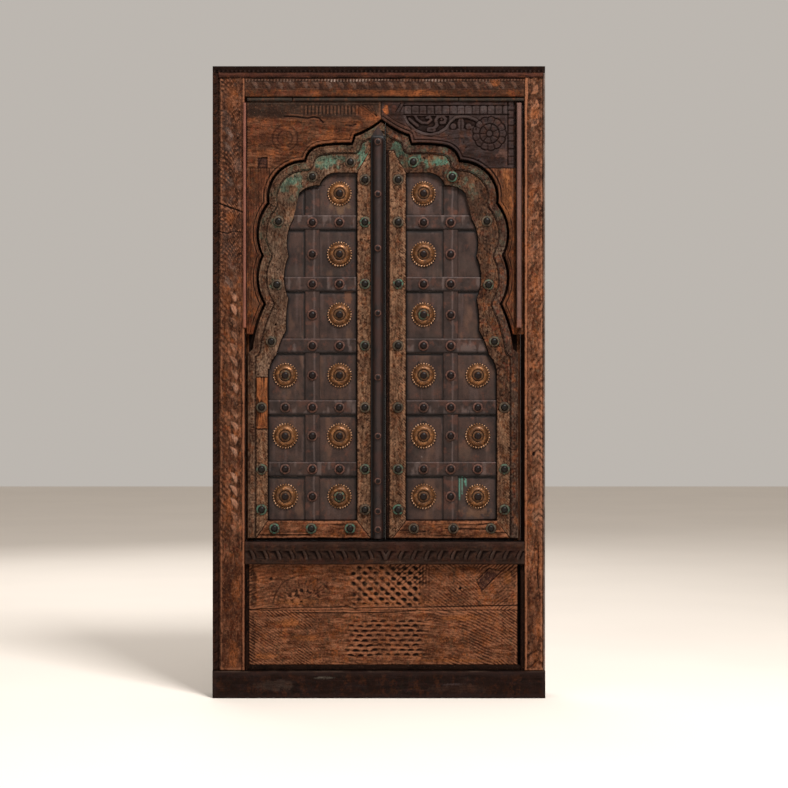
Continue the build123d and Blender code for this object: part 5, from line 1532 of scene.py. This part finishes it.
def hang_light(name, place, target, size, power):
    """A square soft light that looks from its place to its target."""
    light = bpy.data.lights.new(name, "AREA")
    light.shape, light.size, light.energy = "SQUARE", size, power
    lamp = bpy.data.objects.new(name, light)
    bpy.context.scene.collection.objects.link(lamp)
    lamp.location = place
    lamp.rotation_euler = (Vector(target) - Vector(place)).to_track_quat("-Z", "Y").to_euler()


def set_camera(scene, distance):
    """Looks straight at the window from its mid height; the shift puts it where the photograph has it.

    The lens grows with the distance, so that the window keeps its size: it is 90.4 mm at 6 m.
    """
    lens = bpy.data.cameras.new("camera")
    lens.sensor_width, lens.lens = 36.0, 90.4 * distance / 6.0
    lens.shift_x, lens.shift_y = 0.0192, -0.0152
    camera = bpy.data.objects.new("camera", lens)
    scene.collection.objects.link(camera)
    camera.location = (0, -distance, 0.95)
    camera.rotation_euler = (np.pi / 2, 0, 0)
    scene.camera = camera


class WINDOW_OT_stage(bpy.types.Operator):
    """Builds the plain floor, the pale air, the soft lights and the camera."""

    bl_idname = "window.stage"
    bl_label = "Stage"

    def execute(self, context):
        settings = context.scene.window_stage
        set_air(context.scene, settings.air_colour)
        lay_floor(settings.floor_colour)
        hang_light("key light", (1.3, -2.9, 5.0), (0, 0, 0.95), 1.3, 390)
        hang_light("fill light", (-3.2, -4.2, 1.4), (0, 0, 0.7), 3.5, 45)
        hang_light("rear light", (-1.5, 4.0, 3.2), (0, 0, 0.9), 3.5, 90)
        set_camera(context.scene, settings.distance)
        context.scene.view_settings.view_transform = "Standard"
        return {"FINISHED"}


class WINDOW_OT_jambs(bpy.types.Operator):
    """Carves the faces of the two jambs."""

    bl_idname = "window.jambs"
    bl_label = "Jambs"

    def execute(self, context):
        left, right = Box("left_jamb"), Box("right_jamb")
        left_wood = timber("worn teak left jamb", 0.85, 0.6)
        right_wood = timber("worn teak right jamb", 0.95, 0.9, soot=0.5)
        for node, box, ends, carve, material in (
            ("left_jamb", left, (left.x0, LEFT_OPENING), carve_left_jamb, left_wood),
            ("right_jamb", right, (RIGHT_OPENING, right.x1), carve_right_jamb, right_wood),
        ):
            skin = Skin(*grid(*ends, Box("bottom_sill").z1, box.z1, CARVED_STEP), box.front, 2.5)
            carve(skin)
            set_in(node, skin, material)
        return {"FINISHED"}


class WINDOW_OT_head(bpy.types.Operator):
    """Carves the head rail and rounds the fillets over and under it."""

    bl_idname = "window.head"
    bl_label = "Head"

    def execute(self, context):
        box = Box("head_rail")
        skin = Skin(*grid(LEFT_OPENING, RIGHT_OPENING, HEAD_BOTTOM, box.z1, CARVED_STEP), box.front, 1.5)
        carve_head(skin)
        set_in("head_rail", skin, timber("worn teak head", 0.31, 0.42, "x"))
        cap = Box("cap_fillet")
        skin = face(cap, WORN_STEP, 1.2)
        skin.cut(1.2 * about(skin.z - cap.z0 - 4, 1, 2.5))
        skin.wear(0.8, 40, 47, 0.6, "x")
        assemble("cap_fillet", "planed", [skin.part(cap.back)],
                 timber("red teak cap", "#41251c", "#23130f", "x", mottle=0.2, fibre=40))
        fillet = Box("head_fillet")
        joints = (fillet.x0, *FILLET_JOINTS, fillet.x1)
        parts = []
        for index, (x0, x1) in enumerate(zip(joints, joints[1:])):
            ends = (x0 + FILLET_GAP / 2, x1 - FILLET_GAP / 2)
            skin = Skin(*grid(*ends, fillet.z0, fillet.z1, CARVED_STEP), fillet.front - 0.5 * index, 3.5)
            skin.wear(0.8, 40, 48 + index, 0.6, "x")
            parts.append(skin.part(fillet.back))
        assemble("head_fillet", "rounded", parts,
                 timber("blackened teak fillet", "#2b2722", "#120e0b", "x", mottle=0.4, fibre=40))
        return {"FINISHED"}


class WINDOW_OT_edges(bpy.types.Operator):
    """Carves scales on the left edging strip and beads on the top one, and wears all three."""

    bl_idname = "window.edges"
    bl_label = "Edging strips"

    def execute(self, context):
        for name, material in (
            ("left", timber("blackened teak edging", "#24150f", "#0d0604", mottle=0.15)),
            ("right", timber("grey weathered edging", "#6b6059", "#463a33", mottle=0.4)),
            ("top", timber("blackened teak top edging", "#0f0705", "#050201", "x", mottle=0.05)),
        ):
            box = Box(f"{name}_edge_strip")
            skin = face(box, CARVED_STEP, 1.5)
            if name == "left":
                x, z = wander(skin, 1.5, 30, 14)
                turn = (z - 0.045 * (x - box.x0 - 4) ** 2) / 30
                inside = np.abs(turn - np.floor(turn) - 0.5)
                skin.cut(3.0 * smooth(0.14, 0.03, inside) * smooth(box.x0 + 2, box.x0 + 5, skin.x))
                skin.cut(1.6 * about(inside - 0.28, 0.02, 0.1) * smooth(box.x0 + 4, box.x0 + 8, skin.x))
            if name == "top":
                bead = np.abs(np.cos(np.pi * skin.x / 13))
                skin.cut(2.2 * smooth(1888, 1886, skin.z) * smooth(0.8, 0.3, bead))
                skin.paint(smooth(1889, 1886, skin.z) * smooth(0.75, 0.95, bead) * 0.35, "#5a443c")
            skin.wear(1.0, 60, 15, 0.8, "x" if name == "top" else "z")
            assemble(f"{name}_edge_strip", "scaled", [skin.part(box.back, rim_shade=0.3)], material)
        return {"FINISHED"}


class WINDOW_OT_arch_boards(bpy.types.Operator):
    """Carves the boards over and beside the arch, and the bead strips next to them."""

    bl_idname = "window.arch_boards"
    bl_label = "Arch boards"

    def execute(self, context):
        grey = timber_settings().grey
        tones = shade(grey, 0.82), shade(grey, 0.32)
        side_wood = timber("rubbed teak side boards", 0.5, 0.6)
        for leaf, name, carve, upper_wood, strip_wood, dark, seed in (
            (LEFT, "left", carve_left_spandrel, timber("worn teak spandrel", 0.54, 0.7, "x"),
             timber("red teak bead strip", "#72493d", "#4d2c22", mottle=0.15, soot=0.4, fibre=40), 3.2, 58),
            (RIGHT, "right", carve_right_spandrel,
             timber("blackened teak spandrel", *tones, "x", mottle=0.12, fibre=20),
             timber("blackened teak bead strip", "#5f4740", "#3a2620", mottle=0.15, fibre=40), 7.5, 60),
        ):
            edge = board_edge(leaf.side)
            for node, shape, size, carve_board, ending, material in (
                (f"{name}_spandrel", spandrel_skin, FINE_STEP, carve, "carved", upper_wood),
                (f"{name}_side_board", side_board_skin, CARVED_STEP, carve_side_board, "worn", side_wood),
            ):
                box = Box(node)
                skin = shape(leaf, box, edge, size)
                carve_board(skin, leaf)
                parts = [skin.part(box.back), tongue(leaf.side, node)]
                assemble(node, ending, parts, material)
            box = Box(f"{name}_bead_strip")
            skin = face(box, CARVED_STEP, 4.5)
            edge_distance = np.minimum(skin.x - box.x0, box.x1 - skin.x)
            # Painted shade on both sides of each bead strip, over a width given for each side.
            skin.paint(smooth(dark, 0.4 * dark, edge_distance) * 0.9, "#0d0604")
            skin.paint(smooth(box.z0 + 32, box.z0 + 20, skin.z) * 0.7, "#8f4a26")
            skin.wear(1.0, 40, seed, 0.5)
            assemble(f"{name}_bead_strip", "rounded", [skin.part(box.back)], strip_wood)
        return {"FINISHED"}


class WINDOW_OT_transom(bpy.types.Operator):
    """Carves the hooks of the transom and weathers the sill."""

    bl_idname = "window.transom"
    bl_label = "Transom and sill"

    def execute(self, context):
        black = timber_settings().black
        material = timber("blackened teak transom", shade(black, 0.85), shade(black, 0.4), "x", mottle=0.1)
        field = grid(LEFT_OPENING, RIGHT_OPENING, *TRANSOM_HEIGHTS, FINE_STEP)
        skin = Skin(*field, Box("transom_bar").front, 2.5)
        carve_transom(skin)
        set_in("transom_bar", skin, material, "transom_carved")
        box = Box("bottom_sill")
        skin = face(box, STRAP_STEP, 4)
        skin.groove([(box.x0, 58), (-200, 57), (150, 60), (box.x1, 58)], 3, 1.2)
        cloud = smooth(0.4, 0.6, noise(skin.x, skin.z, 60, 68, 2))
        skin.paint(smooth(77, 80, skin.z) * cloud * 0.5, "#5a4639")
        skin.patches(
            (-165, 62, 30, 4, "#6b6358", 0.5, 69), (225, 42, 28, 4, "#54494a", 0.5, 70, 0, 0.5, 2.0),
            (-310, 40, 60, 16, "#3b2f28", 0.5, 66), (240, 30, 90, 14, "#3a2820", 0.5, 67),
        )
        skin.wear(1.6, 90, 65, 0.8, "x")
        assemble("bottom_sill", "worn", [skin.part(box.back, rim_shade=0.0)],
                 timber("blackened teak sill", "#1e1412", "#100a08", "x", mottle=0.1, fibre=40))
        return {"FINISHED"}


class WINDOW_OT_apron(bpy.types.Operator):
    """Carves the two apron boards and rounds the fillets round them."""

    bl_idname = "window.apron"
    bl_label = "Apron"

    def execute(self, context):
        material = timber("rubbed teak apron", 0.9, 1.15, "x", soot=0.5)
        for name, carve in (("upper", carve_upper_apron), ("lower", carve_lower_apron)):
            node = f"apron_{name}_board"
            box = Box(node)
            skin = face(box, CARVED_STEP, 2.0)
            carve(skin)
            assemble(node, "carved", [skin.part(box.back)], material)
        box = Box("apron_side_fillets")
        spans = ((box.x0, box.x0 + APRON_FILLET_WIDTH), (box.x1 - APRON_FILLET_WIDTH, box.x1))
        parts = [batten(*span, box.front, box.back, box.z0, box.z1, 2.5, 1.0, 5) for span in spans]
        assemble("apron_side_fillets", "rounded", parts,
                 timber("oiled teak fillets", "#52301f", "#1c0f09", mottle=0.3, fibre=40))
        parts = [batten(*Box("apron_bottom_fillet").sides(), 3, 1.0, 6)]
        assemble("apron_bottom_fillet", "rounded", parts,
                 timber("oiled teak bottom fillet", "#3f2b20", "#1a100b", "x", mottle=0.3, fibre=40))
        return {"FINISHED"}


class WINDOW_OT_arch_timbers(bpy.types.Operator):
    """Carves the moulding and the border of the arch on both leaves."""

    bl_idname = "window.arch_timbers"
    bl_label = "Arch mouldings and borders"

    def execute(self, context):
        for leaf, round_wood, flat_wood in (
            (LEFT, timber("rubbed teak moulding", "#664c3b", "#3a251a", mottle=0.3),
             timber("rubbed teak border", "#6a5241", "#3f2b1e", mottle=0.3)),
            (RIGHT, timber("weathered teak moulding", "#4d3a30", "#2b1c16", mottle=0.5),
             timber("weathered teak border", "#563d2e", "#2b1b13", mottle=0.5)),
        ):
            outer, seam, inner, start = moulding_and_border(leaf)
            rim, border = between(outer, seam, CARVED_STEP), between(seam[start:], inner[start:], BORDER_STEP)
            for node, field, front, carve, material in (
                (f"{leaf.name}_cusp_moulding", rim, leaf.moulding_front, carve_moulding, round_wood),
                (f"{leaf.name}_arch_border", border, leaf.border_front, carve_border, flat_wood),
            ):
                skin = Skin(*field, front, 1.5)
                carve(skin, leaf)
                assemble(node, "carved", [skin.part(leaf.back)], material)
        return {"FINISHED"}


class WINDOW_OT_leaf_timbers(bpy.types.Operator):
    """Weathers the stiles, the patch, the rails, the meeting stiles and the meeting bead."""

    bl_idname = "window.leaf_timbers"
    bl_label = "Leaf timbers"

    def execute(self, context):
        stile_wood = timber("rubbed teak stiles", "#755641", "#462d1d", mottle=0.35, soot=0.45)
        jobs = (
            (stile_skin, "outer_stile", stile_wood, "border_timber", 0.8, "z"),
            (rail_skin, "bottom_rail", timber("red teak rails", 0.9, 0.9, "x"), "red_timber", 0.3, "x"),
            (meeting_skin, "meeting_stile", stile_wood, "border_timber", 1.0, "z"),
        )
        splits = {
            "right_leaf_outer_stile": ([(360, 870), (366, 905), (364, 950)], 5, 4),
            "right_leaf_bottom_rail": ([(240, 521), (290, 518), (340, 524)], 4, 3),
        }
        for leaf, first_seed in ((LEFT, 111), (RIGHT, 151)):
            for number, (shape, name, material, slot, pitted, grain) in enumerate(jobs):
                skin, node = shape(leaf), f"{leaf.name}_{name}"
                weather_leaf_timber(skin, first_seed + 10 * number, pitted, grain)
                if node in splits:
                    skin.groove(*splits[node], "#0f0806")
                assemble(node, "worn", [skin.part(leaf.back)], material)
        box = Box("left_leaf_stile_patch")
        skin = Skin(*grid(box.x0, box.x1, box.z0 + 0.5, box.z1 - 0.5, WORN_STEP), box.front, 1.2)
        weather_leaf_timber(skin, 171, 0.15)
        assemble("left_leaf_stile_patch", "planed", [skin.part(box.back)],
                 timber("newer teak patch", "#8a5230", "#5f331c", mottle=0.5, soot=0.3, fibre=40))
        boards = Box("right_leaf_boards")
        bead = batten(*Box("right_leaf_meeting_bead").sides(), ease=3, waver=0.8, seed=173)
        ends = (boards.x0 - LIP_REACH, boards.x0 + 0.5)
        lip = batten(*ends, *LIP_DEPTHS, boards.z0, boards.z1, ease=0.3, waver=0)
        assemble("right_leaf_meeting_bead", "rounded", [bead, lip],
                 timber("oiled teak meeting bead", "#6b4635", "#3a2318", mottle=0.3))
        return {"FINISHED"}


class WINDOW_OT_iron(bpy.types.Operator):
    """Beats the iron sheets, the upright straps and the straps across."""

    bl_idname = "window.iron"
    bl_label = "Sheets and straps"

    def execute(self, context):
        iron = context.scene.window_iron
        sheet = sheet_iron("wrought iron sheets", iron.sheet_light, iron.sheet_dark, iron.rust)
        strap = sheet_iron(
            "wrought iron straps", shade(iron.sheet_light, 0.72), shade(iron.sheet_dark, 0.75), iron.rust, 0.6
        )
        for leaf in (LEFT, RIGHT):
            node = f"{leaf.name}_straps"
            box = Box(node)
            heights = np.linspace(box.z0 + STRAP_HEIGHT / 2, box.z1 - STRAP_HEIGHT / 2, STRAP_COUNT)
            parts = []
            for row, z in enumerate(heights):
                skin = strap_skin(leaf, z, box)
                dent_iron(skin, 1.6, 141 + row)
                paint_strap_wear_and_light(skin, z, 145 + 3 * row + leaf.side)
                parts.append(skin.part(box.back))
            assemble(node, "beaten", parts, strap)
            node = f"{leaf.name}_iron_sheets"
            box = Box(node)
            parts = []
            for index, field in enumerate(sheet_skins(leaf)):
                skin = Skin(*field, box.front, 0.1)
                dent_iron(skin, 1.4, 121 + index)
                paint_sheet_soil_and_shade(skin, leaf, heights)
                parts.append(skin.part(box.back))
            assemble(node, "beaten", parts, sheet)
            node = f"{leaf.name}_upright_strap"
            box = Box(node)
            skin = Skin(*grid(box.x0, box.x1, box.z0, box.z1 - UPRIGHT_END, STRAP_STEP), box.front, 0.8)
            dent_iron(skin, 0.9, 131)
            across = skin.x - (box.x0 + box.x1) / 2
            # Painted highlight down the upright strap, and painted shade along both its edges.
            skin.paint(about(across - 4 - 3 * noise(skin.x, skin.z, 40, 132), 0, 4) * 0.25, "#7b6a66")
            skin.paint(smooth(18, 21.5, np.abs(across)) * 0.6, "#1c120f")
            skin.paint(0.5 * smooth(0.6, 0.75, noise(skin.x, skin.z, 24, 133, 4)), "#4e2e22")
            assemble(node, "beaten", [skin.part(box.back)], strap)
        return {"FINISHED"}


class WINDOW_OT_rosettes(bpy.types.Operator):
    """Casts the brass rosettes and forges the iron nails through them."""

    bl_idname = "window.rosettes"
    bl_label = "Rosettes"

    def execute(self, context):
        settings = context.scene.window_iron
        brass = cast_brass("cast brass", settings.rosette_bright, settings.rosette_deep, "#4c2f19")
        nail = stud_iron("forged iron nails", "#170d0a", "#55351f", "#3c4a3c", 0.6)
        radii = (40, 40, 39.2, 37.2, 35.4, 34.0, 33.2, 31, 28.5, 26, 23.5, 21, 19.4, 18.2)
        heights = (0, 1.4, 3.2, 4.8, 4.2, 1.6, 2.2, 5.4, 8.2, 10.2, 11.4, 11.6, 10.8, 9.6)
        shrinks = (0.09, 0.09, 0.07, 0.02) + (0.0,) * 10
        drops = (0, 0.6, 1.8, 2.6, 1.6) + (0.0,) * 9
        nail_radii = (17, 17, 16.2, 13.5, 11.6, 10.8, 9.8, 7.5, 4)
        nail_heights = (0, 1.2, 2.0, 2.6, 3.4, 6.0, 8.6, 10.4, 11)
        teeth = settings.rosette_teeth
        for leaf in ("left_leaf", "right_leaf"):
            places = clump_places(f"{leaf}_rosettes")
            part = heads(places, radii, heights, 4 * teeth, (teeth, shrinks, drops), 0.05, 151)
            assemble(f"{leaf}_rosettes", "cast", [part], brass)
            places = [(x, z, seat - NAIL_SINK) for x, z, seat in clump_places(f"{leaf}_rosette_nails")]
            part = heads(places, nail_radii, nail_heights, 20, None, 0.08, 153)
            assemble(f"{leaf}_rosette_nails", "forged", [part], nail)
        return {"FINISHED"}


class WINDOW_OT_studs(bpy.types.Operator):
    """Forges the studs on the straps, on the timber and on the cover bar."""

    bl_idname = "window.studs"
    bl_label = "Studs"

    def execute(self, context):
        radius = context.scene.window_iron.stud_radius / MM
        plain = stud_iron("forged iron studs", "#140b09", "#573a30", "#3f3029")
        green = stud_iron("verdigrised iron studs", "#130e0a", "#4b392c", "#3c5a4a")
        shares = np.array((1, 1, 0.96, 0.72, 0.64, 0.6, 0.54, 0.4, 0.2))
        heights = (0, 1.2, 2.2, 2.9, 3.1, 5.4, 8.0, 9.9, 10.7)
        large = (shares * radius, heights, 16, None, 0.09, 161)
        small = ((11, 11, 9.5, 6, 3), (0, 1.5, 3.6, 5.2, 5.9), 14, None, 0.04, 163)
        for node, shape, material in (
            ("left_leaf_strap_studs", large, plain), ("left_leaf_border_studs", large, green),
            ("right_leaf_strap_studs", large, plain), ("right_leaf_border_studs", large, green),
            ("left_leaf_cover_bar_studs", small, plain),
        ):
            assemble(node, "forged", [heads(clump_places(node), *shape)], material)
        return {"FINISHED"}


class WINDOW_OT_cover_bar(bpy.types.Operator):
    """Turns and wears the round bar over the meeting line."""

    bl_idname = "window.cover_bar"
    bl_label = "Cover bar"

    def execute(self, context):
        box = Box("left_leaf_cover_bar")
        middle, shoulder = (box.x0 + box.x1) / 2, box.z1 - BAR_POINT
        left = straight((box.x0, box.z0), (box.x0, shoulder), (middle - 0.6, box.z1))
        right = straight((box.x1, box.z0), (box.x1, shoulder), (middle + 0.6, box.z1))
        pair = matched(left, right, [(box.x0, shoulder)], [(box.x1, shoulder)], WORN_STEP)
        skin = Skin(*between(*pair, FINE_STEP), box.front, 0.01)
        across = skin.x - middle
        fade = smooth(box.z1 - 30, box.z1 - 48, skin.z)
        swell = np.sqrt(np.clip(1 - (across / BAR_RADIUS) ** 2, 0, 1))
        skin.proud = box.back + BAR_WING + (BAR_RADIUS + 1) * swell * fade
        skin.cut(1.5 * smooth(19.5, 21.5, np.abs(across)))
        skin.cut(1.3 * noise(skin.x * 1.5, skin.z, 50, 181, 3))
        # Painted highlight down the round, a little off its middle, and painted shade on both its sides.
        skin.paint(about(across - 1 - 4 * noise(skin.x * 0, skin.z, 120, 182, 2), 3, 9) * 0.2, "#4d3c37")
        skin.paint(smooth(13.5, 16, np.abs(across)) * 0.85, "#0a0504")
        skin.paint(0.5 * smooth(0.55, 0.75, noise(skin.x, skin.z * 0.5, 26, 183, 4)), "#331a12")
        assemble("left_leaf_cover_bar", "worn", [skin.part(box.back)],
                 sheet_iron("blackened round bar", "#1f120e", "#0f0706", "#24110c", 0.55))
        return {"FINISHED"}


class WINDOW_OT_plain_timbers(bpy.types.Operator):
    """Gives the plain timbers at the back their sawn surface."""

    bl_idname = "window.plain_timbers"
    bl_label = "Plain timbers"

    def execute(self, context):
        upright = ("apron_battens", "left_leaf_boards", "left_leaf_hinge_stile", "right_leaf_boards",
                   "right_leaf_hinge_stile")
        across = ("frame_pegs", "left_leaf_ledges", "right_leaf_ledges")
        for nodes, name, grain in ((upright, "sawn teak boards", "z"), (across, "sawn teak ledges", "x")):
            material = timber(name, grain=grain, carved=False, mottle=0.35, soot=0.4, fibre=45)
            for node in nodes:
                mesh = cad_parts[node].data
                mesh.materials.clear()
                mesh.materials.append(material)
        return {"FINISHED"}


SETTINGS = {"window_timber": TimberSettings, "window_iron": IronSettings, "window_stage": StageSettings}
OPERATORS = (
    WINDOW_OT_stage, WINDOW_OT_jambs, WINDOW_OT_head, WINDOW_OT_edges, WINDOW_OT_arch_boards,
    WINDOW_OT_transom, WINDOW_OT_apron, WINDOW_OT_arch_timbers, WINDOW_OT_leaf_timbers, WINDOW_OT_iron,
    WINDOW_OT_rosettes, WINDOW_OT_studs, WINDOW_OT_cover_bar, WINDOW_OT_plain_timbers,
)


class WINDOW_PT_dresser(bpy.types.Panel):
    """Lists the window's settings and the pieces that can be made."""

    bl_idname = "WINDOW_PT_dresser"
    bl_label = "Carved Window"
    bl_space_type = "VIEW_3D"
    bl_region_type = "UI"
    bl_category = "Window"

    def draw(self, context):
        column = self.layout.column()
        for name in SETTINGS:
            settings = getattr(context.scene, name)
            for key in settings.bl_rna.properties.keys():
                if key not in ("rna_type", "name"):
                    column.prop(settings, key)
        for kind in OPERATORS:
            column.operator(kind.bl_idname)


def register():
    for kind in (*SETTINGS.values(), *OPERATORS, WINDOW_PT_dresser):
        bpy.utils.register_class(kind)
    for name, kind in SETTINGS.items():
        setattr(bpy.types.Scene, name, PointerProperty(type=kind))


def unregister():
    for name in SETTINGS:
        delattr(bpy.types.Scene, name)
    for kind in (WINDOW_PT_dresser, *reversed(OPERATORS), *SETTINGS.values()):
        bpy.utils.unregister_class(kind)


def main():
    register()
    bpy.ops.window.stage()
    bpy.ops.window.jambs()
    bpy.ops.window.head()
    bpy.ops.window.edges()
    bpy.ops.window.arch_boards()
    bpy.ops.window.transom()
    bpy.ops.window.apron()
    bpy.ops.window.arch_timbers()
    bpy.ops.window.leaf_timbers()
    bpy.ops.window.iron()
    bpy.ops.window.rosettes()
    bpy.ops.window.studs()
    bpy.ops.window.cover_bar()
    bpy.ops.window.plain_timbers()


if __name__ == "__main__":
    main()
